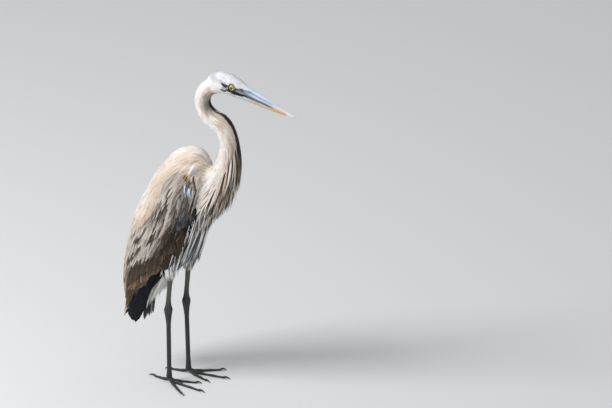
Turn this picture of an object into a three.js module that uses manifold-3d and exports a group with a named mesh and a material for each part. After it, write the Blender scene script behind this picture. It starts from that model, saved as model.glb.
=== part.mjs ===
// A great blue heron in its first year, standing upright with its neck drawn into an S, at life size.
// Millimetres, +Z up. The bird looks along -Y and its left side is +X. Every size below is measured from
// the point of the floor midway between the feet; at the end the group is moved so that its origin is the
// centre of its own footprint.
import * as THREE from "three";
import { mergeVertices } from "three/addons/utils/BufferGeometryUtils.js";
import Module from "manifold-3d";

// ---------------------------------------------------------------- driving sizes
const GAP = 0.35; // clear space between neighbouring pieces
const ANKLE_HEIGHT = 186;
const SHANK_TOP = 269; // the bare shank meets the thigh's feathers here
const ANKLE_TOP = 193; // the tarsus ends just above the ankle
const HIP_OUT = 33; // each leg stands this far from the middle
const STEP = { left: 8, right: -5.5 }; // each foot's place ahead of the middle
const LEAN = { left: -5.3, right: -1.8 }; // each ankle's place ahead of its foot
const THIGH_LEAN = { left: 0, right: 3.4 }; // the same for the top of the bare shank
const FOOT_HEIGHT = 11; // where the toes meet the tarsus
const EYE_AHEAD = 156.5; // the point midway between the eyes
const EYE_HEIGHT = 780.5;
const HEAD_PITCH = 16; // degrees that the bill points down
const BILL_TIP = 164; // from the eyes to the tip of the bill
const EYE_RADIUS = 9.5;
const EYE_OUT = 13.2; // an eyeball's centre from the middle of the head

const LEFT = new THREE.Vector3(1, 0, 0);
const UP = new THREE.Vector3(0, 0, 1);

const PLUMAGE = {
  crown: { color: 0xb9bac8, roughness: 0.85 },
  neck: { color: 0xb9aba0, roughness: 0.9 },
  plumes: { color: 0x8d8478, roughness: 0.9 },
  mantle: { color: 0xb7a895, roughness: 0.9 },
  coverts: { color: 0x93877c, roughness: 0.9 },
  tertials: { color: 0x7d7168, roughness: 0.9 },
  primaries: { color: 0x15181f, roughness: 0.7 },
  tail: { color: 0x6c6a6d, roughness: 0.85 },
  thigh: { color: 0xb8b2a6, roughness: 0.9 },
  bareSkin: { color: 0x57524a, roughness: 0.65 },
  horn: { color: 0x2b2926, roughness: 0.45 },
  upperBill: { color: 0x8f9cae, roughness: 0.35 },
  lowerBill: { color: 0xc9a860, roughness: 0.4 },
  eye: { color: 0xd8cf2e, roughness: 0.1 },
};

// ---------------------------------------------------------------- shaping
const wasm = await Module();
wasm.setup();

// A point in the middle plane, or `out` to the bird's left of it.
const at = (ahead, height, out = 0) => new THREE.Vector3(out, -ahead, height);

// A cross-section: its centre, half its width, and how far it reaches to the bird's back and front.
const section = (ahead, height, wide, back, front = back, out = 0) => ({
  at: at(ahead, height, out),
  wide,
  back,
  front,
});

function solidOf(geometry) {
  const bare = geometry.clone();
  bare.deleteAttribute("normal");
  bare.deleteAttribute("uv");
  const merged = mergeVertices(bare, 1e-4);
  return new wasm.Manifold(
    new wasm.Mesh({
      numProp: 3,
      vertProperties: new Float32Array(merged.attributes.position.array),
      triVerts: new Uint32Array(merged.index.array),
    }),
  );
}

function geometryOf(solid) {
  const mesh = solid.getMesh();
  return new THREE.BufferGeometry()
    .setAttribute("position", new THREE.BufferAttribute(mesh.vertProperties, 3))
    .setIndex(new THREE.BufferAttribute(mesh.triVerts, 1))
    .toNonIndexed();
}

// A closed body through cross-sections. The path runs up or ahead, so that each section's back is the
// bird's back. `domes` says which share of the length is rounded off at each end; 0 leaves a flat end.
function loft(sections, options = {}) {
  const { side = LEFT, around = 16, rings = 12, from = 0, to = 1, domes = [0.15, 0.15], grow = 0 } = options;
  const path = new THREE.CatmullRomCurve3(sections.map((s) => s.at));
  const sizes = new THREE.CatmullRomCurve3(
    sections.map((s) => new THREE.Vector3(s.wide, s.back, s.front)),
  );
  const blunt = 0.12; // a dome stops at this share of its full size
  const dome = (share, span) => (span === 0 || share > span ? 1 : Math.sqrt(1 - (1 - share / span) ** 2));
  const shape = new THREE.CylinderGeometry(1, 1, 1, around, rings);
  const points = shape.attributes.position;
  const easing = (domes[0] > 0 ? 0.5 : 0) + (domes[1] > 0 ? 0.5 : 0);
  for (let i = 0; i < points.count; i++) {
    const even = points.getY(i) + 0.5;
    const share = even - (0.8 * easing * Math.sin(2 * Math.PI * even)) / (2 * Math.PI);
    const u = THREE.MathUtils.clamp(from + (to - from) * share, 0, 1);
    const tangent = path.getTangent(u);
    const across = side.clone().addScaledVector(tangent, -side.dot(tangent)).normalize();
    const front = across.clone().cross(tangent);
    const size = sizes.getPoint(u);
    const round = Math.max(blunt, dome(share, domes[0]) * dome(1 - share, domes[1]));
    const reach = points.getZ(i) > 0 ? size.z : size.y;
    const place = path
      .getPoint(u)
      .addScaledVector(across, points.getX(i) * (size.x * round + grow))
      .addScaledVector(front, points.getZ(i) * (reach * round + grow));
    points.setXYZ(i, place.x, place.y, place.z);
  }
  return solidOf(shape);
}

// A long flat feather from its root to its tip, which is half hidden under those that lie over it.
function vane(root, tip, width, thick, { bow = 0, facing = LEFT, around = 4, rings = 4, grow = 0 } = {}) {
  const middle = root.clone().lerp(tip, 0.55);
  const along = tip.clone().sub(root).normalize();
  const across = facing.clone().cross(along).normalize();
  middle.addScaledVector(facing, bow);
  const slice = (place, share) => {
    const reach = (width / 2) * share;
    return { at: place, wide: thick / 2, back: reach, front: reach };
  };
  const nearTip = middle.clone().lerp(tip, 0.75).addScaledVector(facing, bow * 0.1);
  const slices = [slice(root, 0.7), slice(middle, 1), slice(nearTip, 0.78), slice(tip, 0.06)];
  return loft(slices, { side: across.cross(along).negate(), around, rings, domes: [0, 0], grow });
}

// An outline in the middle plane, given as [ahead, height] pairs, made as wide as `width`.
function slab(outline, width) {
  const shape = new THREE.Shape(outline.map(([ahead, height]) => new THREE.Vector2(ahead, height)));
  const plate = new THREE.ExtrudeGeometry(shape, { depth: width, bevelEnabled: false });
  const turn = new THREE.Matrix4().makeBasis(at(1, 0), at(0, 1), at(0, 0, -1)).setPosition(width / 2, 0, 0);
  return solidOf(plate.applyMatrix4(turn));
}

function smooth(pairs, steps) {
  const curve = new THREE.SplineCurve(pairs.map(([x, y]) => new THREE.Vector2(x, y)));
  return curve.getPoints(steps).map((point) => point.toArray());
}

const join = (solids) => solids.reduce((whole, piece) => whole.add(piece));
const cutBy = (solid, others) => others.reduce((left, other) => left.subtract(other), solid);
const mirrored = (solid) => solid.mirror([1, 0, 0]);
const SIDES = { left: (solid) => solid, right: mirrored }; // everything paired is shaped on the left
const largest = (solid) => solid.decompose().sort((a, b) => b.volume() - a.volume())[0];
const placed = (solid, object) => {
  object.updateWorldMatrix(true, false);
  return solid.transform(object.matrixWorld.elements);
};

const bird = new THREE.Group();

function addPiece(name, solid, finish, parent = bird) {
  const material = new THREE.MeshStandardMaterial({ ...finish, metalness: 0 });
  const mesh = new THREE.Mesh(geometryOf(largest(solid)), material);
  mesh.name = name;
  parent.add(mesh);
  return mesh;
}

// ---------------------------------------------------------------- trunk
const trunkSections = [
  section(-84, 206, 9, 6, 10),
  section(-86, 244, 22, 18, 24),
  section(-76, 290, 38, 38, 40),
  section(-46, 350, 54, 62, 76),
  section(-12, 415, 62, 80, 99),
  section(18, 474, 62, 84, 80),
  section(38, 526, 56, 77, 62),
  section(46, 562, 44, 64, 46),
  section(50, 586, 30, 43, 32),
  section(52, 602, 12, 17, 14),
];
const trunkBody = (grow = 0) => loft(trunkSections, { around: 20, rings: 16, domes: [0.03, 0.05], grow });

// ---------------------------------------------------------------- neck
// From inside the breast, forward and up, back over itself in an S, and forward again to the nape.
const neckSections = [
  section(58, 455, 48, 42, 44),
  section(98, 500, 38, 42, 44),
  section(124, 545, 30, 36, 40),
  section(138, 588, 26, 29, 34),
  section(141, 624, 24, 26, 27),
  section(132, 655, 24, 25, 27),
  section(116, 675, 24, 27, 28),
  section(94, 684, 23, 26, 24),
  section(74, 703, 20.5, 22, 21),
  section(68, 727, 19, 20.5, 20),
  section(76, 750, 19, 20.5, 20),
  section(94, 766, 20, 20.5, 21),
  section(112, 771, 20, 20, 22),
];
const NECK_CUTS = {
  neck_base: [0, 0.27],
  neck_lower: [0.27, 0.47],
  neck_middle: [0.47, 0.7],
  neck_upper: [0.7, 1],
};
const CUT_SHARE = 0.0004; // half of the gap between two lengths, as a share of the neck's path

function neckLength([from, to], grow = 0) {
  return loft(neckSections, {
    around: 14,
    rings: Math.round(28 * (to - from)),
    from: from + CUT_SHARE,
    to: to - CUT_SHARE,
    domes: [0, 0],
    grow,
  });
}

// ---------------------------------------------------------------- head, in a frame of its own
// Its origin is midway between the eyes, and -Y is along the bill.
const head = new THREE.Group();
head.position.copy(at(EYE_AHEAD, EYE_HEIGHT));
head.rotation.x = THREE.MathUtils.degToRad(HEAD_PITCH);
bird.add(head);

const headSections = [
  section(-72, -24, 12, 10, 11),
  section(-54, -11, 18, 18, 24),
  section(-28, -3, 22, 24.5, 33),
  section(-2, -2, 21.5, 23.5, 28),
  section(16, -4, 17, 20.5, 23.5),
  section(36, -5, 11.4, 18, 18.5),
];
const billSections = [
  section(20, -5, 11.4, 18.5, 18.5),
  section(46, -4.8, 9.6, 16.6, 16.8),
  section(80, -3.8, 7.4, 13.6, 13.8),
  section(110, -3.4, 5.6, 10, 10.4),
  section(134, -2.6, 4, 6.8, 7.2),
  section(152, -1.3, 2.4, 3.6, 4),
  section(BILL_TIP, 0, 0.9, 0.9, 0.9),
];
const headBody = (grow = 0) => loft(headSections, { around: 14, rings: 10, domes: [0.16, 0.05], grow });
const eyeball = (side, grow = 0) =>
  solidOf(new THREE.SphereGeometry(EYE_RADIUS + grow, 12, 6).translate(side * EYE_OUT, 0, 0));

// Everything below the line where the mandibles meet, from the gape to the tip.
function belowTheGape(drop) {
  const line = [[0, -11], [60, -7], [122, -4.6], [BILL_TIP + 6, 0.2]].map(([u, v]) => [u, v - drop]);
  return slab([...smooth(line, 8), [BILL_TIP + 6, -60], [0, -60]], 60);
}

function addHead() {
  const sockets = [eyeball(1, GAP), eyeball(-1, GAP)];
  addPiece("head", cutBy(headBody(), sockets), PLUMAGE.crown, head);
  addPiece("eye_left", eyeball(1).subtract(eyeCore(1)), PLUMAGE.eye, head);
  addPiece("eye_right", eyeball(-1).subtract(eyeCore(-1)), PLUMAGE.eye, head);
  const bill = loft(billSections, { around: 12, rings: 8, domes: [0, 0] }).subtract(headBody(GAP));
  addPiece("bill_upper", bill.subtract(belowTheGape(-GAP / 2)), PLUMAGE.upperBill, head);
  addPiece("bill_lower", bill.intersect(belowTheGape(GAP / 2)), PLUMAGE.lowerBill, head);
}

// The eyeballs would meet inside the head, so each keeps only its outer part.
function eyeCore(side) {
  const core = 14;
  const out = EYE_OUT - EYE_RADIUS + 2 - core / 2;
  return solidOf(new THREE.BoxGeometry(core, 40, 40).translate(side * out, 0, 0));
}

function addNeck() {
  const skull = placed(headBody(GAP), head);
  for (const [name, span] of Object.entries(NECK_CUTS)) {
    addPiece(name, cutBy(neckLength(span), [trunkBody(GAP), skull]), PLUMAGE.neck);
  }
}

// ---------------------------------------------------------------- plumes that hang from the foreneck
function foreneckPlumes() {
  const rows = [
    { root: [148, 600], tip: [156, 493], out: 0, width: 26 },
    { root: [144, 590], tip: [145, 474], out: 14, width: 24 },
    { root: [136, 560], tip: [127, 452], out: 10, width: 24 },
    { root: [124, 540], tip: [106, 430], out: 24, width: 22 },
    { root: [110, 520], tip: [90, 415], out: 12, width: 24 },
  ];
  const vanes = rows.flatMap(({ root, tip, out, width }) =>
    (out ? [-out, out] : [0]).map((x) =>
      vane(at(...root, x), at(...tip, x * 0.9), width, 15, { facing: at(1, 0), bow: 9 }),
    ),
  );
  return join(vanes);
}

// ---------------------------------------------------------------- wings and tail
// Both folded wings together are a shell round the trunk, closed at the back and open below.
const shellSections = [
  section(-122, 146, 9, 12, 14),
  section(-112, 190, 26, 34, 34),
  section(-94, 240, 45, 54, 48),
  section(-62, 300, 65, 77, 66),
  section(-24, 370, 76, 96, 84),
  section(12, 440, 78, 99, 78),
  section(38, 504, 71, 91, 56),
  section(50, 546, 56, 72, 40),
  section(56, 576, 34, 38, 22),
];
const shell = () => loft(shellSections, { around: 18, rings: 12, domes: [0, 0.04] });
const hollowSections = [
  section(-106, 120, 10, 5, 130),
  section(-94, 180, 19, 9, 130),
  section(-82, 240, 34, 14, 140),
  section(-58, 300, 51, 20, 150),
  section(-26, 360, 58, 20, 160),
  section(20, 440, 60, 20, 170),
];
const hollow = () => loft(hollowSections, { around: 12, rings: 7, domes: [0, 0] });
// A wing's outline from the side: its front edge from the shoulder down to the tips.
const WING_EDGE = [
  [66, 580], [80, 530], [80, 476], [70, 420], [60, 380], [42, 340],
  [14, 306], [-14, 278], [-46, 256], [-84, 224], [-106, 182], [-122, 140],
];
const BEHIND_THE_WING = [[-160, 120], [-200, 300], [-100, 560], [40, 640]];
const wingOutline = () => slab([...smooth(WING_EDGE, 16), ...BEHIND_THE_WING], 220);

// The last feathers of the folded wing: long drooping tertials at the back, shorter ones further down.
const TERTIALS = [
  { root: [-90, 270], tip: [-137, 136], out: 20, width: 26 },
  { root: [-84, 270], tip: [-122, 152], out: 32, width: 28 },
  { root: [-66, 280], tip: [-98, 178], out: 42, width: 30 },
  { root: [-42, 300], tip: [-66, 218], out: 52, width: 32 },
];
const tertials = () =>
  join(
    TERTIALS.map(({ root, tip, out, width }) =>
      vane(at(...root, out), at(...tip, out * 0.6), width, 5, { bow: 3 }),
    ),
  );

// `count` feathers side by side, from the first to the last root and tip.
function fan(count, roots, tips, size, options) {
  const between = ([first, last], share) => first.clone().lerp(last, share);
  const feathers = [];
  for (let i = 0; i < count; i++) {
    const share = i / (count - 1);
    feathers.push(vane(between(roots, share), between(tips, share), ...size, options));
  }
  return join(feathers);
}

// The dark flight feathers show behind and below the tertials.
function primaries(grow = 0) {
  const roots = [at(-68, 270, 22), at(-46, 258, 22)];
  const tips = [at(-114, 121, 12), at(-84, 168, 20)];
  return fan(3, roots, tips, [26, 5], { bow: 2, grow });
}

function tailFan(grow = 0) {
  const roots = [at(-70, 240, 3), at(-66, 240, 11)];
  const tips = [at(-88, 126, 6), at(-80, 135, 19)];
  const half = fan(2, roots, tips, [26, 4], { facing: at(1, 0), bow: 2, grow });
  return half.add(mirrored(half));
}

const WING_CUT = { ahead: -42, height: 330 }; // coverts above, long feathers below
function halfOfWing(solid, upper) {
  const normal = new THREE.Vector3(0, -0.42, 0.91).normalize();
  const sign = upper ? 1 : -1;
  const offset = normal.dot(at(WING_CUT.ahead, WING_CUT.height)) * sign + GAP / 2;
  return solid.trimByPlane(normal.multiplyScalar(sign).toArray(), offset);
}

function addWingsAndTail(legs) {
  const body = [trunkBody(GAP), neckLength(NECK_CUTS.neck_base, GAP), legs];
  const both = (solid) => solid.add(mirrored(solid));
  const blades = cutBy(both(primaries()), [...body, tailFan(GAP)]);
  const folded = shell().intersect(wingOutline()).subtract(hollow()).add(both(tertials()));
  const wings = cutBy(folded, [...body, both(primaries(GAP)), tailFan(GAP)]);
  addPiece("tail", cutBy(tailFan(), body), PLUMAGE.tail);
  for (const [name, sign] of Object.entries({ left: 1, right: -1 })) {
    const wing = wings.trimByPlane([sign, 0, 0], GAP / 2);
    addPiece(`wing_${name}_coverts`, halfOfWing(wing, true), PLUMAGE.coverts);
    addPiece(`wing_${name}_tertials`, halfOfWing(wing, false), PLUMAGE.tertials);
    addPiece(`wing_${name}_primaries`, blades.trimByPlane([sign, 0, 0], GAP / 2), PLUMAGE.primaries);
  }
}

// ---------------------------------------------------------------- legs
// Each toe's direction out from straight ahead, in degrees, and the sector of the foot that it keeps to.
const TOES = {
  inner: { turn: -20, sector: [-90, -6], length: 66, claw: 12 },
  middle: { turn: 8, sector: [-6, 23], length: 92, claw: 14 },
  outer: { turn: 38, sector: [23, 110], length: 78, claw: 12 },
  hind: { turn: 188, sector: [110, 270], length: 44, claw: 16 },
};
const PHALANGES = 3;
const TOE_HALF = 4.8; // half of a toe's width at its root

const thighSections = (lean) => [
  section(lean, SHANK_TOP, 9, 9, 9),
  section(lean - 1, 300, 18, 19, 24),
  section(lean - 2, 340, 28, 34, 42),
  section(lean - 2, 380, 30, 38, 42),
];
const shankSections = (lean, top) => [
  section(lean, ANKLE_TOP + GAP, 7.6, 8.6, 8.6),
  section(lean + 0.5, ANKLE_TOP + 17, 5.8, 6.4, 6.4),
  section((lean + 2 * top) / 3, 245, 5.8, 6.4, 6.4),
  section(top, SHANK_TOP - GAP, 7, 7.4, 7.4),
];
const tarsusSections = (lean) => [
  section(0, FOOT_HEIGHT - 5, 6.4, 6.4, 6.4),
  section(0, FOOT_HEIGHT + 4, 7.8, 7.8, 7.4),
  section(lean * 0.1, FOOT_HEIGHT + 24, 5.2, 6.2, 5.8),
  section(lean * 0.8, ANKLE_HEIGHT - 42, 5.2, 6.2, 6),
  section(lean, ANKLE_HEIGHT - 14, 8, 9.6, 9),
  section(lean, ANKLE_HEIGHT - 1, 10.4, 11.4, 11),
  section(lean, ANKLE_TOP, 8.4, 9, 9),
];

// The direction on the floor that lies `degrees` out from straight ahead, on the left foot.
const heading = (degrees) => at(1, 0).applyAxisAngle(UP, THREE.MathUtils.degToRad(degrees));

// A toe lies on the floor along its own direction, thicker at each joint.
function toe({ turn, sector, length }) {
  const direction = heading(turn);
  const sections = [];
  const steps = PHALANGES * 2;
  for (let i = 0; i <= steps; i++) {
    const share = i / steps;
    const joint = i % 2 === 0 ? 1 : 0.84;
    const half = TOE_HALF * (1 - 0.32 * share) * joint;
    const place = direction.clone().multiplyScalar(length * share);
    place.z = half * 0.75 + (FOOT_HEIGHT - TOE_HALF) * (1 - share) ** 6; // its underside is trimmed flat
    sections.push({ at: place, wide: half, back: half, front: half });
  }
  return loft(sections, { side: UP.clone().cross(direction), around: 6, rings: 6, domes: [0, 0] })
    .trimByPlane([0, 0, 1], 0)
    .trimByPlane(heading(sector[0] + 90).toArray(), GAP / 2)
    .trimByPlane(heading(sector[1] - 90).toArray(), GAP / 2);
}

function claw({ turn, length, claw: reach }) {
  const direction = heading(turn);
  const slice = (share, height, half) => ({
    at: direction.clone().multiplyScalar(length + 2 * GAP + reach * share).setZ(height),
    wide: half * 0.8,
    back: half,
    front: half,
  });
  const sections = [slice(0, 3.2, 2.5), slice(0.35, 4.2, 2.2), slice(0.72, 3, 1.4), slice(1, 0.7, 0.5)];
  const side = UP.clone().cross(direction);
  return loft(sections, { side, around: 6, rings: 4, domes: [0, 0] }).trimByPlane([0, 0, 1], 0);
}

function addLeg(name, turned) {
  const group = new THREE.Group();
  group.position.copy(at(STEP[name], 0, name === "left" ? HIP_OUT : -HIP_OUT));
  bird.add(group);
  const [lean, top] = [LEAN[name], THIGH_LEAN[name]];
  const thigh = (grow) => loft(thighSections(top), { around: 12, rings: 7, domes: [0.04, 0], grow });
  const shank = (grow) => loft(shankSections(lean, top), { around: 8, rings: 5, domes: [0, 0], grow });
  const tarsus = (grow) => loft(tarsusSections(lean), { around: 8, rings: 12, domes: [0, 0], grow });
  const trunk = trunkBody(GAP).translate(group.position.clone().negate().toArray());
  addPiece(`thigh_${name}`, thigh(0).subtract(trunk), PLUMAGE.thigh, group);
  addPiece(`shank_${name}`, shank(0), PLUMAGE.bareSkin, group);
  addPiece(`tarsus_${name}`, tarsus(0), PLUMAGE.bareSkin, group);
  for (const [toeName, size] of Object.entries(TOES)) {
    addPiece(`toe_${name}_${toeName}`, turned(toe(size)).subtract(tarsus(GAP)), PLUMAGE.bareSkin, group);
    addPiece(`claw_${name}_${toeName}`, turned(claw(size)), PLUMAGE.horn, group);
  }
  return placed(thigh(GAP).add(shank(GAP)), group);
}

// ---------------------------------------------------------------- the whole bird
addHead();
addNeck();
addPiece("trunk", trunkBody(), PLUMAGE.mantle);
const legs = Object.entries(SIDES).map(([name, turned]) => addLeg(name, turned));
addWingsAndTail(join([...legs, ...legs.map(mirrored)]));
const plumeCuts = Object.values(NECK_CUTS).map((span) => neckLength(span, GAP));
addPiece("foreneck_plumes", cutBy(foreneckPlumes(), [trunkBody(GAP), ...plumeCuts]), PLUMAGE.plumes);

// The origin is the centre of the bounding box's foot, on the floor.
const box = new THREE.Box3().setFromObject(bird);
const middle = box.getCenter(new THREE.Vector3());
bird.position.set(-middle.x, -middle.y, -box.min.z);

export default bird;
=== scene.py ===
import math
import bmesh
import bpy
import numpy as np
from mathutils import Matrix, Vector
from mathutils.bvhtree import BVHTree
from mathutils.kdtree import KDTree


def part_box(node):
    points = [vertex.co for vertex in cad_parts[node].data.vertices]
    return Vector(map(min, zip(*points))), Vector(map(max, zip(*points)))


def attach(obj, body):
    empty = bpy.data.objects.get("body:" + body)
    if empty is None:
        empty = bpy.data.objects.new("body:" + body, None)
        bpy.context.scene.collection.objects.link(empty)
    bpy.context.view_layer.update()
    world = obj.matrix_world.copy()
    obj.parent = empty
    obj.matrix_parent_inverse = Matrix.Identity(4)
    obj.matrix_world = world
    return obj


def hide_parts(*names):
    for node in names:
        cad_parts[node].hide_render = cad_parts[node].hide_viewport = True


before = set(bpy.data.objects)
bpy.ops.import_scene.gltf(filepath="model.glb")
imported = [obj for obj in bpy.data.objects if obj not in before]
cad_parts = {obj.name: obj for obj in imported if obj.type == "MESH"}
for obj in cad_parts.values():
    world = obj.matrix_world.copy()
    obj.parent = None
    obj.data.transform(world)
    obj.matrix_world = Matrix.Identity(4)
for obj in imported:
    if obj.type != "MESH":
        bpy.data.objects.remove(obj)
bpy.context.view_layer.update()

# The bird looks along -Y and its left is +X. Shapes are given in millimetres: ahead of the feet,
# above the floor and out to the bird's left.
mm = 0.001
bird = {"eyeAhead": 156.5, "eyeHeight": 780.5, "headPitch": 16}
eyeLow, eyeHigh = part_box("eye_left")
standY = (eyeLow.y + eyeHigh.y) / 2 + bird["eyeAhead"] * mm
chance = np.random.default_rng(11)
sides = {"left": 1, "right": -1}
toes = ("inner", "middle", "outer", "hind")


def at(ahead, height, out=0):
    return np.array((out * mm, standY - ahead * mm, height * mm))


pitch = math.radians(bird["headPitch"])
headForward = np.array((0, -math.cos(pitch), -math.sin(pitch)))
headUp = np.array((0, -math.sin(pitch), math.cos(pitch)))
headAt = at(bird["eyeAhead"], bird["eyeHeight"])


# A place on the head: along the bill, above the eyes' axis, out to the left.
def onHead(along, above, out=0):
    return headAt + headForward * along * mm + headUp * above * mm + np.array((out * mm, 0, 0))


def inHead(points):
    offset = (points - headAt) / mm
    return offset @ headForward, offset @ headUp, offset[:, 0]


def inBird(points):
    return (standY - points[:, 1]) / mm, points[:, 2] / mm, points[:, 0] / mm


def step(value, low, high):
    share = np.clip((value - low) / (high - low), 0, 1)
    return share * share * (3 - 2 * share)


def unit(vectors):
    return vectors / np.maximum(np.linalg.norm(vectors, axis=-1, keepdims=True), 1e-9)


# A smooth curve through knots, at `count` even places of its parameter.
def curveThrough(knots, count):
    knots = np.asarray(knots, float)
    padded = np.vstack([2 * knots[0] - knots[1], knots, 2 * knots[-1] - knots[-2]])
    place = np.linspace(0, len(knots) - 1, count)
    index = np.minimum(place.astype(int), len(knots) - 2)
    t = (place - index)[:, None]
    a, b, c, d = (padded[index + k] for k in range(4))
    bend = (2 * a - 5 * b + 4 * c - d) * t ** 2 + (3 * b - a - 3 * c + d) * t ** 3
    return 0.5 * (2 * b + (c - a) * t + bend)


latticeSize = 32


# A smooth random value from 0 to 1 that changes over `size` millimetres.
def ripple(points, size, seed):
    lattice = np.random.default_rng(seed).random((latticeSize,) * 3)
    place = points / (np.asarray(size, float) * mm)
    corner = np.floor(place).astype(int)
    share = place - corner
    share = share * share * (3 - 2 * share)
    total = np.zeros(len(points))
    for offset in np.ndindex(2, 2, 2):
        a, b, c = ((corner + offset) % latticeSize).T
        total += np.where(offset, share, 1 - share).prod(1) * lattice[a, b, c]
    return total


# Camera, floor and light.
cameraView = {"azimuth": -60, "elevation": 24, "lens": 800, "sensor": 36, "distance": 31.96,
              "right": 0.2996, "up": 0.4061}


def addCamera(view):
    azimuth = math.radians(view["azimuth"])
    elevation = math.radians(view["elevation"])
    back = Vector((math.sin(azimuth) * math.cos(elevation), -math.cos(azimuth) * math.cos(elevation),
                   math.sin(elevation)))
    right = Vector((math.cos(azimuth), math.sin(azimuth), 0))
    target = Vector(at(0, 0)) + right * view["right"] + back.cross(right) * view["up"]
    data = bpy.data.cameras.new("camera")
    data.lens = view["lens"]
    data.sensor_width = view["sensor"]
    camera = bpy.data.objects.new("camera", data)
    bpy.context.scene.collection.objects.link(camera)
    camera.location = target + back * view["distance"]
    camera.rotation_mode = "QUATERNION"
    camera.rotation_quaternion = (-back).to_track_quat("-Z", "Y")
    bpy.context.scene.camera = camera


addCamera(cameraView)
print("camera placed")

studio = {"floorSize": 30, "floorColour": (0.70, 0.71, 0.72), "worldLight": 0.56,
          "keyEnergy": 109, "keySize": 1.3, "keyAt": (-2.0, 1.9, 3.0),
          "fillEnergy": 16, "fillSize": 3.0, "fillAt": (-2.4, -3.0, 1.4), "lampsAimAt": (0, 0, 0.45)}


def hexColour(text):
    value = np.array([int(text[i:i + 2], 16) / 255 for i in (0, 2, 4)])
    return np.where(value <= 0.04045, value / 12.92, ((value + 0.055) / 1.055) ** 2.4)


def addLamp(name, place, size, energy):
    data = bpy.data.lights.new(name, "AREA")
    data.size = size
    data.energy = energy
    lamp = bpy.data.objects.new(name, data)
    bpy.context.scene.collection.objects.link(lamp)
    lamp.location = place
    lamp.rotation_mode = "QUATERNION"
    lamp.rotation_quaternion = (Vector(studio["lampsAimAt"]) - Vector(place)).to_track_quat("-Z", "Y")


def addStudio(values):
    bm = bmesh.new()
    bmesh.ops.create_grid(bm, x_segments=1, y_segments=1, size=values["floorSize"])
    floor = addObject("floor", bm)
    material, shader = newMaterial("floorPaint", 0.9)
    shader.inputs["Base Color"].default_value = (*values["floorColour"], 1)
    floor.data.materials.append(material)
    world = bpy.data.worlds.new("studio")
    bpy.context.scene.world = world
    world.use_nodes = True
    background = world.node_tree.nodes["Background"]
    background.inputs["Color"].default_value = (1, 1, 1, 1)
    background.inputs["Strength"].default_value = values["worldLight"]
    addLamp("key", values["keyAt"], values["keySize"], values["keyEnergy"])
    addLamp("fill", values["fillAt"], values["fillSize"], values["fillEnergy"])
    bpy.context.scene.view_settings.view_transform = "Standard"


def addObject(name, bm):
    mesh = bpy.data.meshes.new(name)
    bm.to_mesh(mesh)
    bm.free()
    return addMesh(name, mesh)


def addMesh(name, mesh):
    piece = bpy.data.objects.new(name, mesh)
    bpy.context.scene.collection.objects.link(piece)
    mesh.shade_smooth()
    return piece


def newMaterial(name, roughness):
    material = bpy.data.materials.new(name)
    material.use_nodes = True
    shader = material.node_tree.nodes["Principled BSDF"]
    shader.inputs["Roughness"].default_value = roughness
    return material, shader


addStudio(studio)
print("studio ready")

# The lie of the coat: lines down the middle of trunk, neck, head and thighs, with their radii.
lieOfCoat = {
    "trunk": [(-122, 146, 0, 14), (-112, 190, 0, 30), (-94, 240, 0, 46), (-62, 300, 0, 62), (-24, 370, 0, 74),
              (4, 432, 0, 78), (22, 488, 0, 70), (40, 528, 0, 60), (66, 556, 0, 44), (98, 566, 0, 28)],
    "neck": [(62, 462, 0, 44), (98, 500, 0, 40), (124, 545, 0, 35), (138, 588, 0, 29), (141, 624, 0, 25),
             (132, 655, 0, 25), (116, 675, 0, 26), (94, 684, 0, 24), (74, 703, 0, 21), (68, 727, 0, 20),
             (76, 750, 0, 20), (90, 767, 0, 21)],
    "head": [(100, 776, 0, 20), (130, 788, 0, 23), (160, 780, 0, 22), (190, 771, 0, 18), (300, 740, 0, 14)],
    "thighLeft": [(6, 266, 33, 9), (6, 300, 33, 20), (6, 340, 33, 28), (2, 385, 33, 30)],
    "thighRight": [(-4, 266, -33, 9), (-6, 300, -33, 20), (-7, 340, -33, 28), (-8, 385, -33, 30)],
}
chainNames = list(lieOfCoat)
samplesPerChain = 40
coatLines = [curveThrough([(*at(ahead, height, out), radius * mm) for ahead, height, out, radius in stations],
                          samplesPerChain) for stations in lieOfCoat.values()]
lineCentres = np.concatenate([line[:, :3] for line in coatLines])
lineRadii = np.concatenate([line[:, 3] for line in coatLines])
lineTangents = np.concatenate([unit(np.gradient(line[:, :3], axis=0)) for line in coatLines])
lineLengths = np.array([np.linalg.norm(np.diff(line[:, :3], axis=0), axis=1).sum() for line in coatLines])
blending = {"block": 20000, "sharpness": 9}  # points taken at once, and how fast one line takes over


# For each point: the way the body runs there, the line that it belongs to, how far along that line it
# is, and its angle round it, 0 at the bird's front and pi at its back.
def lieAt(points):
    tangents = np.empty((len(points), 3))
    nearest = np.empty(len(points), int)
    for start in range(0, len(points), blending["block"]):
        block = slice(start, start + blending["block"])
        away = np.linalg.norm(points[block, None] - lineCentres, axis=2) / lineRadii
        pull = np.exp(-blending["sharpness"] * (away - away.min(1, keepdims=True)))
        tangents[block] = unit(pull @ lineTangents)
        nearest[block] = away.argmin(1)
    chain = nearest // samplesPerChain
    along = (nearest % samplesPerChain) / (samplesPerChain - 1)
    tangent = lineTangents[nearest]
    front = np.cross(np.array((1.0, 0, 0)), tangent)
    offset = points - lineCentres[nearest]
    angle = np.arctan2(np.abs(offset[:, 0]), (offset * front).sum(1))
    return tangents, chain, along, angle


# Noise from -0.5 to 0.5 in streaks that follow the coat.
def streaks(points, lie, across, length, seed):
    chain, along, angle = lie[1:]
    radius = lineRadii[chain * samplesPerChain + (along * (samplesPerChain - 1)).astype(int)]
    side = np.sign(points[:, 0]) * 0.4
    place = np.column_stack([angle * radius, along * lineLengths[chain], chain + side])
    return ripple(place, (across, length, 100), seed) - 0.5


# Markings, the same on skin and feathers.
def paints(table):
    return {name: hexColour(text) for name, text in table.items()}


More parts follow.
